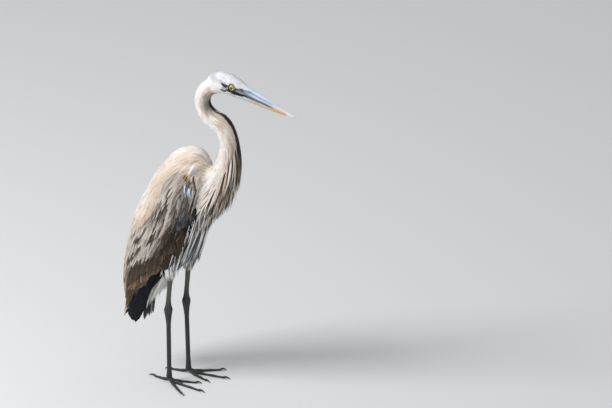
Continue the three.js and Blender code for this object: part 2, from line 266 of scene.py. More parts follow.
paint = paints({
    "white": "f2f0ee", "cream": "ece4da", "crown": "eeedf3", "occiput": "aeadb8", "ink": "17171b",
    "lore": "62717a", "throat": "6d6a67", "rufous": "9a6a3c", "napeTan": "dccdbf", "neckTan": "cdb8a3",
    "foreBrown": "7d6752", "mantle": "cfb79f", "mantlePale": "e2d6c8", "covert": "6a6057",
    "covertPale": "beb5ad", "covertDark": "3a332d", "covertEdge": "cfc6bb", "slate": "41464d",
    "rust": "573a22", "umber": "433426", "breastWhite": "e2e2df", "breastGrey": "8d9496", "thigh": "c9c9c3",
    "undertail": "f2f2ee", "tail": "0d0e10", "fawn": "bb9672", "gold": "a8842f", "horn": "d3deec",
    "lid": "b9b79c", "legPale": "504d43", "legDark": "151c20", "blueWhite": "d2e0f4", "blueDark": "28385a",
    "flight": "060709", "loam": "271e15", "dim": "7c7c88", "flightEdge": "1b1f27", "tailEdge": "a5a6a2",
    "tertial": "5a4f44", "tertialEdge": "a58a64"})
markings = {  # lines as pairs: height and ahead, where its name is looked up by height
    "mantleEdge": [(300, -118), (384, -96), (403, -78), (422, -48), (452, -28), (485, -12), (530, -3),
                   (558, 29), (565, 58), (569, 120)],
    "wingFront": [(140, -122), (182, -106), (224, -84), (256, -46), (278, -18), (306, 5), (340, 34),
                  (380, 54), (420, 68), (476, 78), (530, 78), (570, 76), (600, 100)],
    # ahead and height, along the wing
    "brownEdge": [(-120, 270), (-96, 290), (-62, 304), (-34, 332), (-12, 368), (18, 424), (42, 450)],
    "quills": [(-131, 120), (-122, 160), (-118, 203), (-101, 215), (-78, 225), (-54, 244), (-17, 281),
               (10, 286)],
    "silver": [(6, 500), (-4, 424), (-26, 374), (-60, 338), (-92, 322)],
    # height, and how far round the neck the plumes grow
    "plumed": [(440, 1.0), (500, 1.35), (560, 1.35), (600, 1.1), (640, 0.5)],
    # along the neck, and the stripe's half-width as an angle round it
    "foreStripe": [(0.3, 0.2), (0.45, 0.26), (0.55, 0.18), (0.62, 0.14), (0.68, 0.22), (0.78, 0.32),
                   (0.86, 0.25)],
    # along and above, on the head
    "upperEyeline": [(-23, -1), (-15, -1), (-8, 0)],
    "lowerEyeline": [(-20, -17), (-14, -14), (-5, -8)],
    "gape": [(-2, -9), (6, -9.5), (20, -8.8), (40, -8.0), (58, -6.8)],
    "gapeWidth": [(0, 3.6), (12, 4.6), (30, 3.0), (60, 1.2)],
}
spots = {  # centre and reach: along and above on the head, ahead and above the floor elsewhere
    "nape": (-54, 0, 16, 7), "crownSide": (-30, 3, 16, 3.5), "underEye": (9, -5, 5, 3.5),
    "loreTop": (11, 1.5, 5.5, 3), "loreFront": (22, 4.6, 6, 3.4), "rufous": (102, 747, 14, 6.5),
    "throat": (88, 722, 11, 21), "neckFlecks": (110, 506, 26, 34), "breastFlecks": (94, 515, 22, 26),
    "breastFawn": (64, 572, 18, 20), "mantleFawn": (58, 578, 24, 16), "wrist": (73, 462, 7, 26),
    "underWrist": (64, 415, 7, 34), "smoothWing": (34, 400, 34, 66), "rust": (2, 318, 26, 22),
    "slate": (58, 452, 15, 58),
}


def lineAt(value, name):
    return np.interp(value, *zip(*markings[name]))


def mix(colour, other, share):
    share = np.asarray(share, float)[..., None]
    return colour * (1 - share) + other * share


# Paints laid over a colour one after another, each with its share.
def layered(colour, *coats):
    for name, share in coats:
        colour = mix(colour, paint[name], share)
    return colour


def spot(x, y, place):
    centreX, centreY, reachX, reachY = place
    return np.exp(-(((x - centreX) / reachX) ** 2 + ((y - centreY) / reachY) ** 2))


# Distance from each point to a line of points in the same plane.
def nearLine(x, y, line):
    best = np.full(len(x), 1e9)
    for (ax, ay), (bx, by) in zip(line, line[1:]):
        dx, dy = bx - ax, by - ay
        share = np.clip(((x - ax) * dx + (y - ay) * dy) / (dx * dx + dy * dy), 0, 1)
        best = np.minimum(best, np.hypot(x - ax - share * dx, y - ay - share * dy))
    return best


def headColour(points, lie):
    along, above, out = inHead(points)
    wave = (ripple(points, 5, 3) - 0.5) * 3
    crownStreak = step(streaks(points, lie, 2.4, 16, 12), 0, 0.25) * step(above, 1, 6) * step(-along, -16, -4)
    fan = step(along + wave, -25, -19) * step(-along, 4, 8) * step(-above, -4, -1)
    fan *= step(above + wave * 0.5, -2 + along * 0.62, 2 + along * 0.62)
    eyeline = np.minimum(nearLine(along, above, markings["upperEyeline"]),
                         nearLine(along, above, markings["lowerEyeline"]))
    around = np.hypot(along, above)
    rim = 5.8 + 3.8 * step(0.3 * along - above, -2, 3)
    onSide = np.abs(out) > 8
    colour = layered(
        paint["white"],
        # Pale on top of the head: the crown's own grey-lavender, lightened almost to white as painted
        # highlight.
        ("crown", step(above, -along * 0.02, 5 - along * 0.02)),
        ("occiput", 0.7 * spot(along, above, spots["nape"])),
        ("occiput", 0.5 * spot(along, above, spots["crownSide"])),
        ("occiput", 0.45 * crownStreak),
        ("dim", 0.75 * fan),
        ("ink", 0.9 * step(wave * 0.5 - eyeline, -4.8, -2.6)),
        ("lid", 0.85 * step(8.8 - around, -0.8, 0.6) * onSide),
        ("ink", 0.95 * step(rim - around, -0.6, 0.5) * onSide),
        ("ink", 0.85 * spot(along, above, spots["underEye"]) * (np.abs(out) > 6)),
        ("horn", 0.75 * step(along, 20, 33) * step(above, -12, -8)),
        # Bluish white under the chin: painted shade.
        ("blueWhite", 0.6 * step(-above, 14, 20) * step(along, -10, 6)))
    return loreColour(colour, along, above, out, wave)


# The bare skin between eye and bill, which runs on over the foot of the bill.
def loreColour(colour, along, above, out, wave):
    lore = step(along * 0.26 - 3 - above, -3.5, 0) * step(above, -12, -9)
    lore *= step(along, 4, 8) * step(-along, -62, -26)
    marks = spot(along, above, spots["loreTop"]) + spot(along, above, spots["loreFront"])
    gape = lineAt(along, "gapeWidth") - nearLine(along, above, markings["gape"])
    onSide = np.abs(out) > 3
    return layered(
        colour,
        ("lore", 0.8 * lore * onSide),
        ("ink", np.clip(1.2 * marks + wave * 0.06, 0, 0.88) * onSide),
        ("ink", 0.96 * step(gape, -0.7, 0.5) * step(-along, -62, -50)))


def neckColour(points, lie):
    ahead, height = inBird(points)[:2]
    along, angle = lie[2:]
    fine = streaks(points, lie, 2.6, 20, 5)
    broad = streaks(points, lie, 9, 60, 6)
    low = step(-along, -0.5, -0.25)
    # Tan on the side and brown at the front of the neck: partly the neck's own colour and partly painted
    # shade on the front, away from the light.
    side = step(angle + fine * 0.4, 0.35, 0.7) * step(-angle - broad * 0.6, -1.7, -1.1)
    frontBrownAndShade = step(-angle + fine * 1.3, -1.3, -0.75)
    flecks = spot(ahead, height, spots["neckFlecks"]) * step(fine + broad * 0.5, -0.03, 0.12)
    stripe = step(lineAt(along, "foreStripe") - angle + fine * 0.3, -0.07, 0.05)
    return layered(
        paint["cream"],
        ("napeTan", np.clip(0.35 + broad * 1.4 + fine * 2.4, 0, 1)),
        ("white", 0.85 * step(angle + broad * 0.7 + 0.5 * step(along, 0.5, 0.8), 1.4, 2.2)),
        ("neckTan", (0.15 + 0.5 * low) * side * np.clip(0.8 + fine * 1.8, 0, 1)),
        ("foreBrown", (0.25 + 0.45 * low) * frontBrownAndShade),
        ("foreBrown", 0.75 * flecks),
        # Grey patch under the jaw: partly the neck's own marking and partly painted shadow cast by the head.
        ("throat", 0.9 * spot(ahead, height, spots["throat"]) * step(-angle, -1.8, -1)),
        ("ink", 0.95 * stripe * step(-along, -0.91, -0.84) * step(along, 0.24, 0.34)))


def trunkColour(points, lie, wing):
    ahead, height = inBird(points)[:2]
    angle = lie[3]
    fine = streaks(points, lie, 5, 26, 8)
    broad = streaks(points, lie, 15, 70, 9)
    front = lineAt(height, "wingFront")
    beyondMantle = ahead - lineAt(height, "mantleEdge") + fine * 16
    colour = mantleColour(height, spot(ahead, height, spots["mantleFawn"]), angle, fine, broad, beyondMantle)
    colour = mix(colour, covertColour(ahead, height, fine, broad), step(beyondMantle, -5, 7))
    colour = layered(colour, ("flight", step(lineAt(ahead, "quills") - height + fine * 6, -2, 3)))
    inside = step(-ahead, 40, 60) * step(-height, -360, -330)
    covered = (1 - wing) * step(-angle, -1.95, -1.6)
    below = np.maximum(step(ahead, front - 4, front + 4), covered) * (1 - inside)
    colour = mix(colour, breastColour(ahead, height, fine, broad), below)
    # Dark brown on the body just under the wing's front edge: painted shade where the wing overhangs.
    underWing = covered * step(front - ahead, -1, 4) * step(height, 296, 304) * step(-height, -425, -410)
    wrist = spot(ahead, height, spots["wrist"]) + spot(ahead, height, spots["underWrist"])
    return layered(colour, ("loam", underWing), ("ink", np.clip(1.2 * wrist, 0, 0.95)))


# Cream above, tan towards the wing coverts, and white where the light catches the ridge of the back.
def mantleColour(height, shoulder, angle, fine, broad, beyond):
    return layered(
        paint["mantlePale"],
        ("mantle", np.clip(0.1 + 0.7 * step(beyond, -46, -8) + fine * 1.6 + broad * 0.8, 0, 1)),
        ("fawn", 0.6 * step(beyond, -30, -8) * step(-height, -520, -430)),
        ("white", 0.7 * step(angle + broad * 0.8 + fine * 0.6, 2.35, 3.0)),
        ("white", 0.9 * step(height + broad * 24 + fine * 30, 572, 596)),
        ("fawn", 0.85 * shoulder * np.clip(0.9 + fine * 3, 0, 1)),
        ("loam", 0.8 * step(-height, -370, -290) * step(fine + broad * 0.5, -0.03, 0.1)))


# Pale and scaly above, silvery behind, smooth and dark in front, and brown along the lower edge; the dark
# parts are partly the wing's own colours and partly painted shade.
def covertColour(ahead, height, fine, broad):
    upper = step(height, 465, 525)
    silver = np.exp(-(nearLine(ahead, height, markings["silver"]) / 24) ** 2)
    smooth = spot(ahead, height, spots["smoothWing"])
    pale = 0.14 + 0.55 * upper + 0.6 * silver - 0.2 * smooth + (fine * 2.8 + broad * 1.2) * (1 - 0.6 * smooth)
    dusk = 0.5 * smooth - 0.3 * upper - (fine * 3.0 + broad * 1.2) * (1 - 0.5 * smooth)
    brown = step(lineAt(ahead, "brownEdge") - height + fine * 34, -8, 14)
    return layered(
        paint["covert"],
        ("covertPale", np.clip(pale, 0, 1)),
        # Darker in front, with a slate patch, and dark brown and rust low down: partly the wing's own colours
        # and partly painted shade.
        ("covertDark", np.clip(dusk, 0, 0.9)),
        ("loam", (0.55 + 0.35 * step(ahead, -70, -30)) * brown),
        ("rust", 0.5 * spot(ahead, height, spots["rust"]) * np.clip(0.6 + fine * 3, 0, 1)),
        ("slate", 0.85 * spot(ahead, height, spots["slate"])))


# White below, greyed partly by streaks and partly by painted shade; cream mottled with tan beside the neck,
# and white on the shoulder's top as a painted highlight.
def breastColour(ahead, height, fine, broad):
    upper = step(height, 470, 520)
    # Grey over the white: partly streaks, partly painted shade on the underside.
    colour = layered(paint["breastWhite"], ("breastGrey", np.clip(0.35 + fine, 0, 1)),
                     ("undertail", step(-height, -290, -250)))
    cream = layered(paint["cream"], ("neckTan", np.clip(0.4 + broad * 2 + fine * 2, 0, 1)))
    flecks = spot(ahead, height, spots["breastFlecks"]) * step(fine + broad * 0.6, -0.02, 0.14)
    tan = spot(ahead, height, spots["breastFawn"]) * np.clip(0.8 + fine * 3, 0, 1)
    return layered(
        mix(colour, cream, upper),
        ("foreBrown", 0.8 * upper * flecks),
        # White on the shoulder's top: a painted highlight.
        ("white", 0.75 * step(height + broad * 30, 556, 590)),
        ("fawn", 0.75 * tan))


def thighColour(points, lie):
    ahead, height = inBird(points)[:2]
    streak = streaks(points, lie, 6, 60, 12)
    # Dark brown on the thigh where it lies behind the wing's front edge: painted shade under the wing.
    behind = step(lineAt(height, "wingFront") - ahead, 2, 8) * step(height, 302, 310)
    return layered(paint["thigh"], ("white", step(streak, -0.15, 0.15)), ("loam", behind),
                   ("legPale", step(-height + streak * 6, -279, -273)))


chainColours = {"neck": neckColour, "head": headColour, "thighLeft": thighColour, "thighRight": thighColour}


# `wing` is 1 on the folded wings and 0 on what they cover.
def plumageColour(points, wing):
    lie = lieAt(points)
    colour = trunkColour(points, lie, wing)
    for name, colourOf in chainColours.items():
        here = lie[1] == chainNames.index(name)
        colour[here] = colourOf(points[here], [part[here] for part in lie])
    ahead, height = inBird(points)[:2]
    patchy = 0.5 + ripple(points, 4, 14) * 0.5
    return layered(colour, ("rufous", 1.1 * patchy * spot(ahead, height, spots["rufous"])))


# Skin: one mesh moulded over the flesh, inside the coat.
moulds = {
    "flesh": {"nodes": ["head", "neck_upper", "neck_middle", "neck_lower", "neck_base", "trunk", "thigh_left",
                        "thigh_right", "wing_left_coverts", "wing_right_coverts", "wing_left_tertials",
                        "wing_right_tertials"], "voxel": 2.9, "rounds": 5},
    "legs": {"nodes": [f"{part}_{side}" for side in sides for part in ("shank", "tarsus")]
             + [f"toe_{side}_{toe}" for side in sides for toe in toes], "voxel": 1.5, "rounds": 2},
}
seam = 0.4  # how far each piece of flesh swells to close the gap to its neighbour


def evaluatedMesh(piece):
    graph = bpy.context.evaluated_depsgraph_get()
    mesh = bpy.data.meshes.new_from_object(piece.evaluated_get(graph))
    bpy.data.objects.remove(piece)
    return mesh


def moulded(name, values):
    bm = bmesh.new()
    for node in values["nodes"]:
        bm.from_mesh(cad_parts[node].data)
    bmesh.ops.remove_doubles(bm, verts=bm.verts, dist=1e-6)
    piece = addObject(name, bm)
    swell = piece.modifiers.new("swell", "DISPLACE")
    swell.mid_level = 0
    swell.strength = seam * mm
    remesh = piece.modifiers.new("remesh", "REMESH")
    remesh.mode = "VOXEL"
    remesh.voxel_size = values["voxel"] * mm
    smooth = piece.modifiers.new("smooth", "SMOOTH")
    smooth.factor = 0.6
    smooth.iterations = values["rounds"]
    return evaluatedMesh(piece)


def meshArrays(mesh):
    places = np.empty(len(mesh.vertices) * 3, np.float32)
    normals = np.empty(len(mesh.vertices) * 3, np.float32)
    mesh.vertices.foreach_get("co", places)
    mesh.vertex_normals.foreach_get("vector", normals)
    return places.reshape(-1, 3).astype(float), normals.reshape(-1, 3).astype(float)


skinDepth = {"body": 2.6, "lessLow": 1.2, "lessUpNeck": 1.0, "head": 1.6, "lessOnFace": 0.4,
             "lessAtBill": 0.8}


# How deep the skin lies under the outline.
def coatDepth(points, name):
    if name == "legs":
        return np.zeros(len(points))
    chain, along = lieAt(points)[1:3]
    headAlong = inHead(points)[0]
    body = skinDepth["body"] - skinDepth["lessLow"] * step(-points[:, 2] / mm, -340, -270)
    neck = skinDepth["body"] - skinDepth["lessUpNeck"] * step(along, 0.1, 0.8)
    face = (skinDepth["head"] - skinDepth["lessOnFace"] * step(headAlong, -60, -30)
            - skinDepth["lessAtBill"] * step(headAlong, 16, 32))
    isNeck, isHead = (chain == chainNames.index(name) for name in ("neck", "head"))
    return np.select([isNeck, isHead], [neck, face], body)


headForms = {  # centre along and above, reach along and above, how far outward
    "lore": (20, -1, 11, 5, -1.3), "brow": (3, 10.5, 15, 3, 1.1), "cheek": (-18, -13, 17, 9, 1.2),
    "temple": (-14, 6, 12, 5, -0.7),
}
eyeForms = {"lid": (7.4, 1.2, 0.7), "socket": (5.0, 6.4, 1.6)}  # radii, and how far out or in
gapeForm = {"line": [(-2, -11.5), (20, -9), (36, -8.6)], "width": 1.1, "deep": 0.9}


def sculptHead(points, normals):
    along, above, out = inHead(points)
    side = step(np.abs(out), 5, 11) * step(along, -60, -45) * step(above, -45, -38)
    push = np.zeros(len(points))
    for *place, height in headForms.values():
        push += height * side * spot(along, above, place)
    around = np.hypot(along, above)
    lidAt, lidWidth, lidHeight = eyeForms["lid"]
    push += lidHeight * side * np.exp(-((around - lidAt) / lidWidth) ** 2)
    socketFrom, socketTo, socketDepth = eyeForms["socket"]
    push -= socketDepth * side * step(-around, -socketTo, -socketFrom)
    gape = nearLine(along, above, gapeForm["line"])
    push -= gapeForm["deep"] * step(np.abs(out), 3, 7) * np.exp(-(gape / gapeForm["width"]) ** 2)
    return points + normals * push[:, None] * mm


def smoothVerts(bm, verts, rounds):
    for _ in range(rounds):
        bmesh.ops.smooth_vert(bm, verts=verts, factor=0.5, use_axis_x=True, use_axis_y=True, use_axis_z=True)


refining = {"starts": (-82, -22), "lowest": -45, "rounds": 3, "throatRounds": (10, 14),
            "throat": (-40, -28, 28, 18)}


# More faces where the face has its small forms.
def refineHead(mesh):
    bm = bmesh.new()
    bm.from_mesh(mesh)
    softenThroat(bm, refining["throatRounds"][0])
    for start in refining["starts"]:
        along, above = inHead(np.array([vert.co for vert in bm.verts]))[:2]
        inside = (along > start) & (above > refining["lowest"])
        edges = [edge for edge in bm.edges if inside[edge.verts[0].index] and inside[edge.verts[1].index]]
        bmesh.ops.subdivide_edges(bm, edges=edges, cuts=1, use_grid_fill=True)
        near = [vert for vert in bm.verts if inHead(np.array([vert.co]))[0][0] > start - 4]
        smoothVerts(bm, near, refining["rounds"])
        bm.verts.index_update()
    softenThroat(bm, refining["throatRounds"][1])
    bm.to_mesh(mesh)
    bm.free()
    mesh.update()


# The corner between jaw and throat, drawn smooth.
def softenThroat(bm, rounds):
    along, above = inHead(np.array([vert.co for vert in bm.verts]))[:2]
    middle, low, reach, rise = refining["throat"]
    throat = np.hypot((along - middle) / reach, (above - low) / rise) < 1
    smoothVerts(bm, [vert for vert, inside in zip(bm.verts, throat) if inside], rounds)


scutes = {"tarsus": 6.5, "toe": 4.5, "height": 0.35}
footOut = 41  # the middle of each foot, out from the bird's middle
toeTop = 20


# Plates across the front of each leg and along the top of each toe.
def scuteForms(points, normals):
    ahead, height, out = inBird(points)
    onToe = height < toeTop
    phase = np.where(onToe, np.hypot(ahead, np.abs(out) - footOut) / scutes["toe"], height / scutes["tarsus"])
    saw = phase - np.floor(phase)
    ridge = np.minimum(saw * 1.3, 1) * step(-saw, -1, -0.85)
    face = np.where(onToe, step(normals[:, 2], 0.3, 0.7), step(-normals[:, 1], 0.2, 0.6))
    return ridge * face * scutes["height"] * step(-height, -215, -190)


# Heights over which the soles are set on the floor and the tops move up inside the thighs, and how far.
legEnds = {"sole": (6, 20), "top": (260, 269), "inThigh": 14}


def makeSkin():
    bm = bmesh.new()
    legStart = 0
    for name, values in moulds.items():
        mesh = moulded("mould" + name, values)
        if name == "flesh":
            refineHead(mesh)
        points, normals = meshArrays(mesh)
        points -= normals * (coatDepth(points, name) + seam)[:, None] * mm
        if name == "flesh":
            points = sculptHead(points, normals)
        else:
            legStart = len(bm.faces)
            points += normals * (scuteForms(points, normals) - scutes["height"] * 0.5)[:, None] * mm
            soleLow, soleHigh = legEnds["sole"]
            points[:, 2] -= points[:, 2].min() * step(-points[:, 2] / mm, -soleHigh, -soleLow)
            points[:, 2] += legEnds["inThigh"] * mm * step(points[:, 2] / mm, *legEnds["top"])
        mesh.vertices.foreach_set("co", points.astype(np.float32).ravel())
        mesh.update()
        bm.from_mesh(mesh)
        bpy.data.meshes.remove(mesh)
    for index, face in enumerate(bm.faces):
        face.material_index = 1 if index >= legStart else 0
        face.smooth = True
    return addObject("skin", bm)


def legColour(points):
    patch = ripple(points, 14, 21)
    return layered(paint["legDark"], ("legPale", step(points[:, 2] / mm + patch * 20, 200, 245) * 0.8),
                   ("legPale", 0.25 * patch))


def setColour(mesh, name, colours):
    layer = mesh.color_attributes.new(name, "FLOAT_COLOR", "POINT")
    flat = np.ones((len(colours), 4), np.float32)
    flat[:, :colours.shape[1]] = colours
    layer.data.foreach_set("color", flat.ravel())


skin = makeSkin()
skinPoints, skinNormals = meshArrays(skin.data)
print("skin moulded:", len(skin.data.polygons), "faces")

# The skin's unwrap: each line's stretch is a column, along the line upward and round it across.
columns = {"trunk": (0.01, 0.42), "neck": (0.44, 0.24), "head": (0.69, 0.14), "thighLeft": (0.84, 0.07),
           "thighRight": (0.92, 0.07)}


def unwrap(points):
    chain, along, angle = lieAt(points)[1:]
    turn = angle / math.pi * np.sign(points[:, 0] + 1e-9)
    left, wide = np.array([columns[name] for name in chainNames])[chain].T
    return np.column_stack([left + wide * (0.5 + 0.5 * turn), 0.02 + 0.96 * along])


# A UV map from one place for each vertex.
def addMap(mesh, name, perVertex):
    corners = np.empty(len(mesh.loops), np.int32)
    mesh.loops.foreach_get("vertex_index", corners)
    layer = mesh.uv_layers.new(name=name)
    layer.data.foreach_set("uv", perVertex[corners].astype(np.float32).ravel())


def treeOf(nodes):
    bm = bmesh.new()
    for node in nodes:
        bm.from_mesh(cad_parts[node].data)
    tree = BVHTree.FromBMesh(bm)
    bm.free()
    return tree


wingTree = treeOf([f"wing_{side}_{part}" for side in sides for part in ("coverts", "tertials")])
fleshTree = treeOf(["trunk", "neck_base", "neck_lower", "thigh_left", "thigh_right"])
wingAway, fleshAway = (np.array([tree.find_nearest(Vector(point))[3] for point in skinPoints])
                       for tree in (wingTree, fleshTree))
onWing = (wingAway < fleshAway).astype(float)
skinColour = plumageColour(skinPoints, onWing)
bare = np.zeros(len(skinPoints), bool)
bare[[corner for face in skin.data.polygons if face.material_index == 1 for corner in face.vertices]] = True
skinColour[bare] = legColour(skinPoints)[bare]
setColour(skin.data, "plumage", skinColour)
addMap(skin.data, "OFBake", unwrap(skinPoints))
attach(skin, "root")
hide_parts(*[node for values in moulds.values() for node in values["nodes"]])


# Adds a shader node with its settings. An input is a value, or the output of another node.
def addNode(tree, kind, inputs=(), **settings):
    node = tree.nodes.new("ShaderNode" + kind)
    for key, value in settings.items():
        setattr(node, key, value)
    for key, value in dict(inputs).items():
        if isinstance(value, bpy.types.NodeSocket):
            tree.links.new(value, node.inputs[key])
        else:
            node.inputs[key].default_value = value
    return node


def calculate(tree, operation, *values):
    return addNode(tree, "Math", enumerate(values), operation=operation).outputs[0]


# From `lowest` up to 1, while the value runs through `span`.
def ranged(tree, value, span, lowest=0.0, **settings):
    inputs = {"Value": value, "From Min": span[0], "From Max": span[1], "To Min": lowest}
    return addNode(tree, "MapRange", inputs, **settings).outputs[0]


# Colour, and small forms raised by `height`.
def paintShader(tree, shader, colour, height, strength, distance):
    raised = addNode(tree, "Bump", {"Strength": strength, "Distance": distance, "Height": height})
    tree.links.new(raised.outputs["Normal"], shader.inputs["Normal"])
    tree.links.new(colour, shader.inputs["Base Color"])


def skinMaterial(name, roughness, scale, bump):
    material, shader = newMaterial(name, roughness)
    tree = material.node_tree
    place = addNode(tree, "TexCoord").outputs["Object"]
    cells = addNode(tree, "TexVoronoi", {"Vector": place, "Scale": scale}, feature="DISTANCE_TO_EDGE")
    tint = addNode(tree, "Attribute", attribute_name="plumage")
    paintShader(tree, shader, tint.outputs["Color"], cells.outputs["Distance"], bump, 0.0006)
    return material


skin.data.materials.append(skinMaterial("plumageSkin", roughness=0.85, scale=500, bump=0.4))
skin.data.materials.append(skinMaterial("legSkin", roughness=0.5, scale=330, bump=0.9))
print("skin painted")

# Feathers: thin closed vanes laid along the coat, joined into a few meshes.
skinFaces = [tuple(face.vertices) for face in skin.data.polygons]
skinTree = BVHTree.FromPolygons([Vector(point) for point in skinPoints], skinFaces)
facesAtMost = 95000  # faces of four corners in one piece
patchSize = 0.003  # of one feather in the map that is baked


# A flat vane of unit size, pillowed a little on both faces: across -1..1, along 0..1, layer -1..1.
def featherTemplate(rows, columns, tipDense=1.4):
    bm = bmesh.new()
    bmesh.ops.create_grid(bm, x_segments=columns, y_segments=rows, size=1)
    for vert in bm.verts:
        vert.co.z = 1 if max(abs(vert.co.x), abs(vert.co.y)) < 0.99 else 0
    lower = bmesh.ops.duplicate(bm, geom=bm.verts[:] + bm.edges[:] + bm.faces[:])["geom"]
    for part in lower:
        if isinstance(part, bmesh.types.BMVert):
            part.co.z *= -1
    bmesh.ops.reverse_faces(bm, faces=[part for part in lower if isinstance(part, bmesh.types.BMFace)])
    bmesh.ops.remove_doubles(bm, verts=bm.verts, dist=1e-4)
    bm.verts.index_update()
    places = np.array([vert.co for vert in bm.verts])
    quads = np.array([[vert.index for vert in face.verts] for face in bm.faces])
    bm.free()
    along = 1 - (1 - (places[:, 1] + 1) / 2) ** tipDense
    return {"across": places[:, 0], "along": along, "layer": places[:, 2], "quads": quads}


templates = {"small": featherTemplate(3, 2), "plume": featherTemplate(6, 2), "flight": featherTemplate(16, 8)}

# Half-widths along a feather, as shares of its full half-width, from root to tip.
outlines = {
    "oval": [(0, 0.35), (0.25, 0.85), (0.55, 1), (0.8, 0.8), (0.93, 0.45), (1, 0.05)],
    "lance": [(0, 0.4), (0.2, 0.9), (0.45, 1), (0.75, 0.62), (0.92, 0.25), (1, 0.02)],
    "round": [(0, 0.35), (0.3, 0.8), (0.65, 1), (0.86, 0.86), (0.96, 0.5), (1, 0.08)],
    "blade": [(0, 0.25), (0.1, 0.6), (0.35, 0.95), (0.7, 1), (0.9, 0.72), (0.97, 0.4), (1, 0.04)],
}


def between(rows, along):
    place = along * (rows.shape[1] - 1)
    index = np.minimum(place.astype(int), rows.shape[1] - 2)
    share = (place - index)[None, :, None]
    return rows[:, index] * (1 - share) + rows[:, index + 1] * share


# Paths and normals are (feathers, steps, 3); colours are one for each feather.
def layFeathers(name, paths, normals, values, colours, edging, roots, material):
    template = templates[values["template"]]
    across, along, layer = template["across"], template["along"], template["layer"]
    count, size = len(paths), len(across)
    centre = between(paths, along)
    normal = unit(between(normals, along))
    tangent = unit(between(np.gradient(paths, axis=1), along))
    side = unit(np.cross(tangent, normal))
    normal = np.cross(side, tangent)
    shares, reach = zip(*outlines[values["outline"]])
    half = np.interp(along, shares, reach)[None] * np.asarray(values["width"])[:, None] / 2 * mm
    height = values["thick"] * mm * layer * np.sqrt(np.interp(along, shares, reach))
    height = height[None] - values["camber"] * across[None] ** 2 * half
    places = centre + side * (half * across[None])[..., None] + normal * height[..., None]
    parts = math.ceil(count / max(1, facesAtMost // len(template["quads"])))
    vane = np.column_stack([across * 0.5 + 0.5, along])
    for part in range(parts):
        chosen = slice(part, count, parts)
        number = len(range(*chosen.indices(count)))
        mesh = joinedMesh(name, places[chosen].reshape(-1, 3), template["quads"], number, size)
        setColour(mesh, "plumage", np.repeat(colours[chosen], size, 0))
        setColour(mesh, "edging", np.repeat(edging[chosen], size, 0))
        addMap(mesh, "OFBake", (roots[chosen][:, None] + vane[None] * patchSize).reshape(-1, 2))
        addMap(mesh, "vane", np.tile(vane, (number, 1)))
        mesh.materials.append(material)
        piece = addMesh(f"{name}{part + 1}" if parts > 1 else name, mesh)
        mesh.set_sharp_from_angle(angle=math.radians(75))  # top and underside shade apart
        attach(piece, "root")
    print(f"{name}: {count} feathers")


def joinedMesh(name, places, quads, number, size):
    faces = (quads[None] + (np.arange(number) * size)[:, None, None]).reshape(-1, 4)
    mesh = bpy.data.meshes.new(name)
    mesh.vertices.add(len(places))
    mesh.vertices.foreach_set("co", places.astype(np.float32).ravel())
    mesh.loops.add(faces.size)
    mesh.loops.foreach_set("vertex_index", faces.astype(np.int32).ravel())
    mesh.polygons.add(len(faces))
    mesh.polygons.foreach_set("loop_start", np.arange(0, faces.size, 4, dtype=np.int32))
    mesh.update(calc_edges=True)
    return mesh


def nearSkin(points):
    hits = [skinTree.find_nearest(Vector(point))[:2] for point in points]
    return np.array([place for place, normal in hits]), np.array([normal for place, normal in hits])


# How fast a path turns into the lie, the sharpest corner and the widest gap that it follows (a cosine
# and a share of its stride), and how slowly its own upward side turns.
tracing = {"turn": 0.6, "corner": 0.35, "gap": 0.9, "inertia": 0.35}


def dot(first, second):
    return (first * second).sum(1, keepdims=True)


# Each feather's middle line, from its root along the lie of the coat. It clings to the skin, except
# where it runs off an edge, and `drop` lets it hang instead, more towards its tip; `sweep` turns that aft.
def trace(roots, normals, lengths, values):
    steps, lift, splay, drop = (values[key] for key in ("steps", "lift", "splay", "drop"))
    hang = unit(np.array((0, values["sweep"], -1.0)))
    here, normal = roots, normals
    heading = -lieAt(here)[0]
    turn = chance.normal(0, splay, len(roots))[:, None]
    paths, ups = [here], [normal]
    stray = np.zeros(len(roots))
    stride = (lengths * mm / steps)[:, None]
    for number in range(steps):
        heading = unit(heading - tracing["turn"] * lieAt(here)[0])
        heading = unit(heading + hang * drop * ((number + 1) / steps))
        heading = unit(heading - normal * dot(heading, normal) * (1 - drop))
        if number == 0:
            heading = unit(heading + np.cross(normal, heading) * turn)
        ahead = here + heading * stride
        place, facing = nearSkin(ahead)
        gap = dot(ahead - place, facing)
        loose = (dot(facing, normal) < tracing["corner"]) | (np.abs(gap) > stride * tracing["gap"])
        loose |= (drop > 0) & (gap > 0)
        here = np.where(loose, ahead, place)
        normal = np.where(loose, unit(normal - heading * dot(normal, heading)),
                          unit(tracing["inertia"] * normal + facing))
        stray = np.maximum(stray, np.linalg.norm(here - place, axis=1) / mm)
        paths.append(here)
        ups.append(normal)
    paths = np.stack(paths, 1)
    ups = np.stack(ups, 1)
    rise = np.linspace(0, 1, steps + 1)[None, :, None]
    return paths + ups * (lift[0] + (lift[1] - lift[0]) * rise) * mm, ups, stray


skin.data.calc_loop_triangles()
corners = np.empty(len(skin.data.loop_triangles) * 3, np.int32)
skin.data.loop_triangles.foreach_get("vertices", corners)
skinTriangles = corners.reshape(-1, 3)
skinTriangles = skinTriangles[~bare[skinTriangles].any(1)]
cornerA, cornerB, cornerC = (skinPoints[skinTriangles[:, k]] for k in range(3))
triangleArea = np.linalg.norm(np.cross(cornerB - cornerA, cornerC - cornerA), axis=1) / 2
triangleCentre = (cornerA + cornerB + cornerC) / 3
triangleNormal = unit(skinNormals[skinTriangles].mean(1))
triangleWing = onWing[skinTriangles].mean(1)

# Where one coat gives way to the next: heights, places ahead, places on the head, and turns.
growth = {"front": 1.8, "shoulder": 528, "foreneck": (440, 640), "underWing": (-52, 340), "shankTop": 281,
          "thighFront": (4, 308), "flank": (2, 300, 400), "headFrom": -75, "faceFrom": (-8, 3, 6),
          "eyeHole": 8.2, "billFrom": 34, "downhill": 0.86}


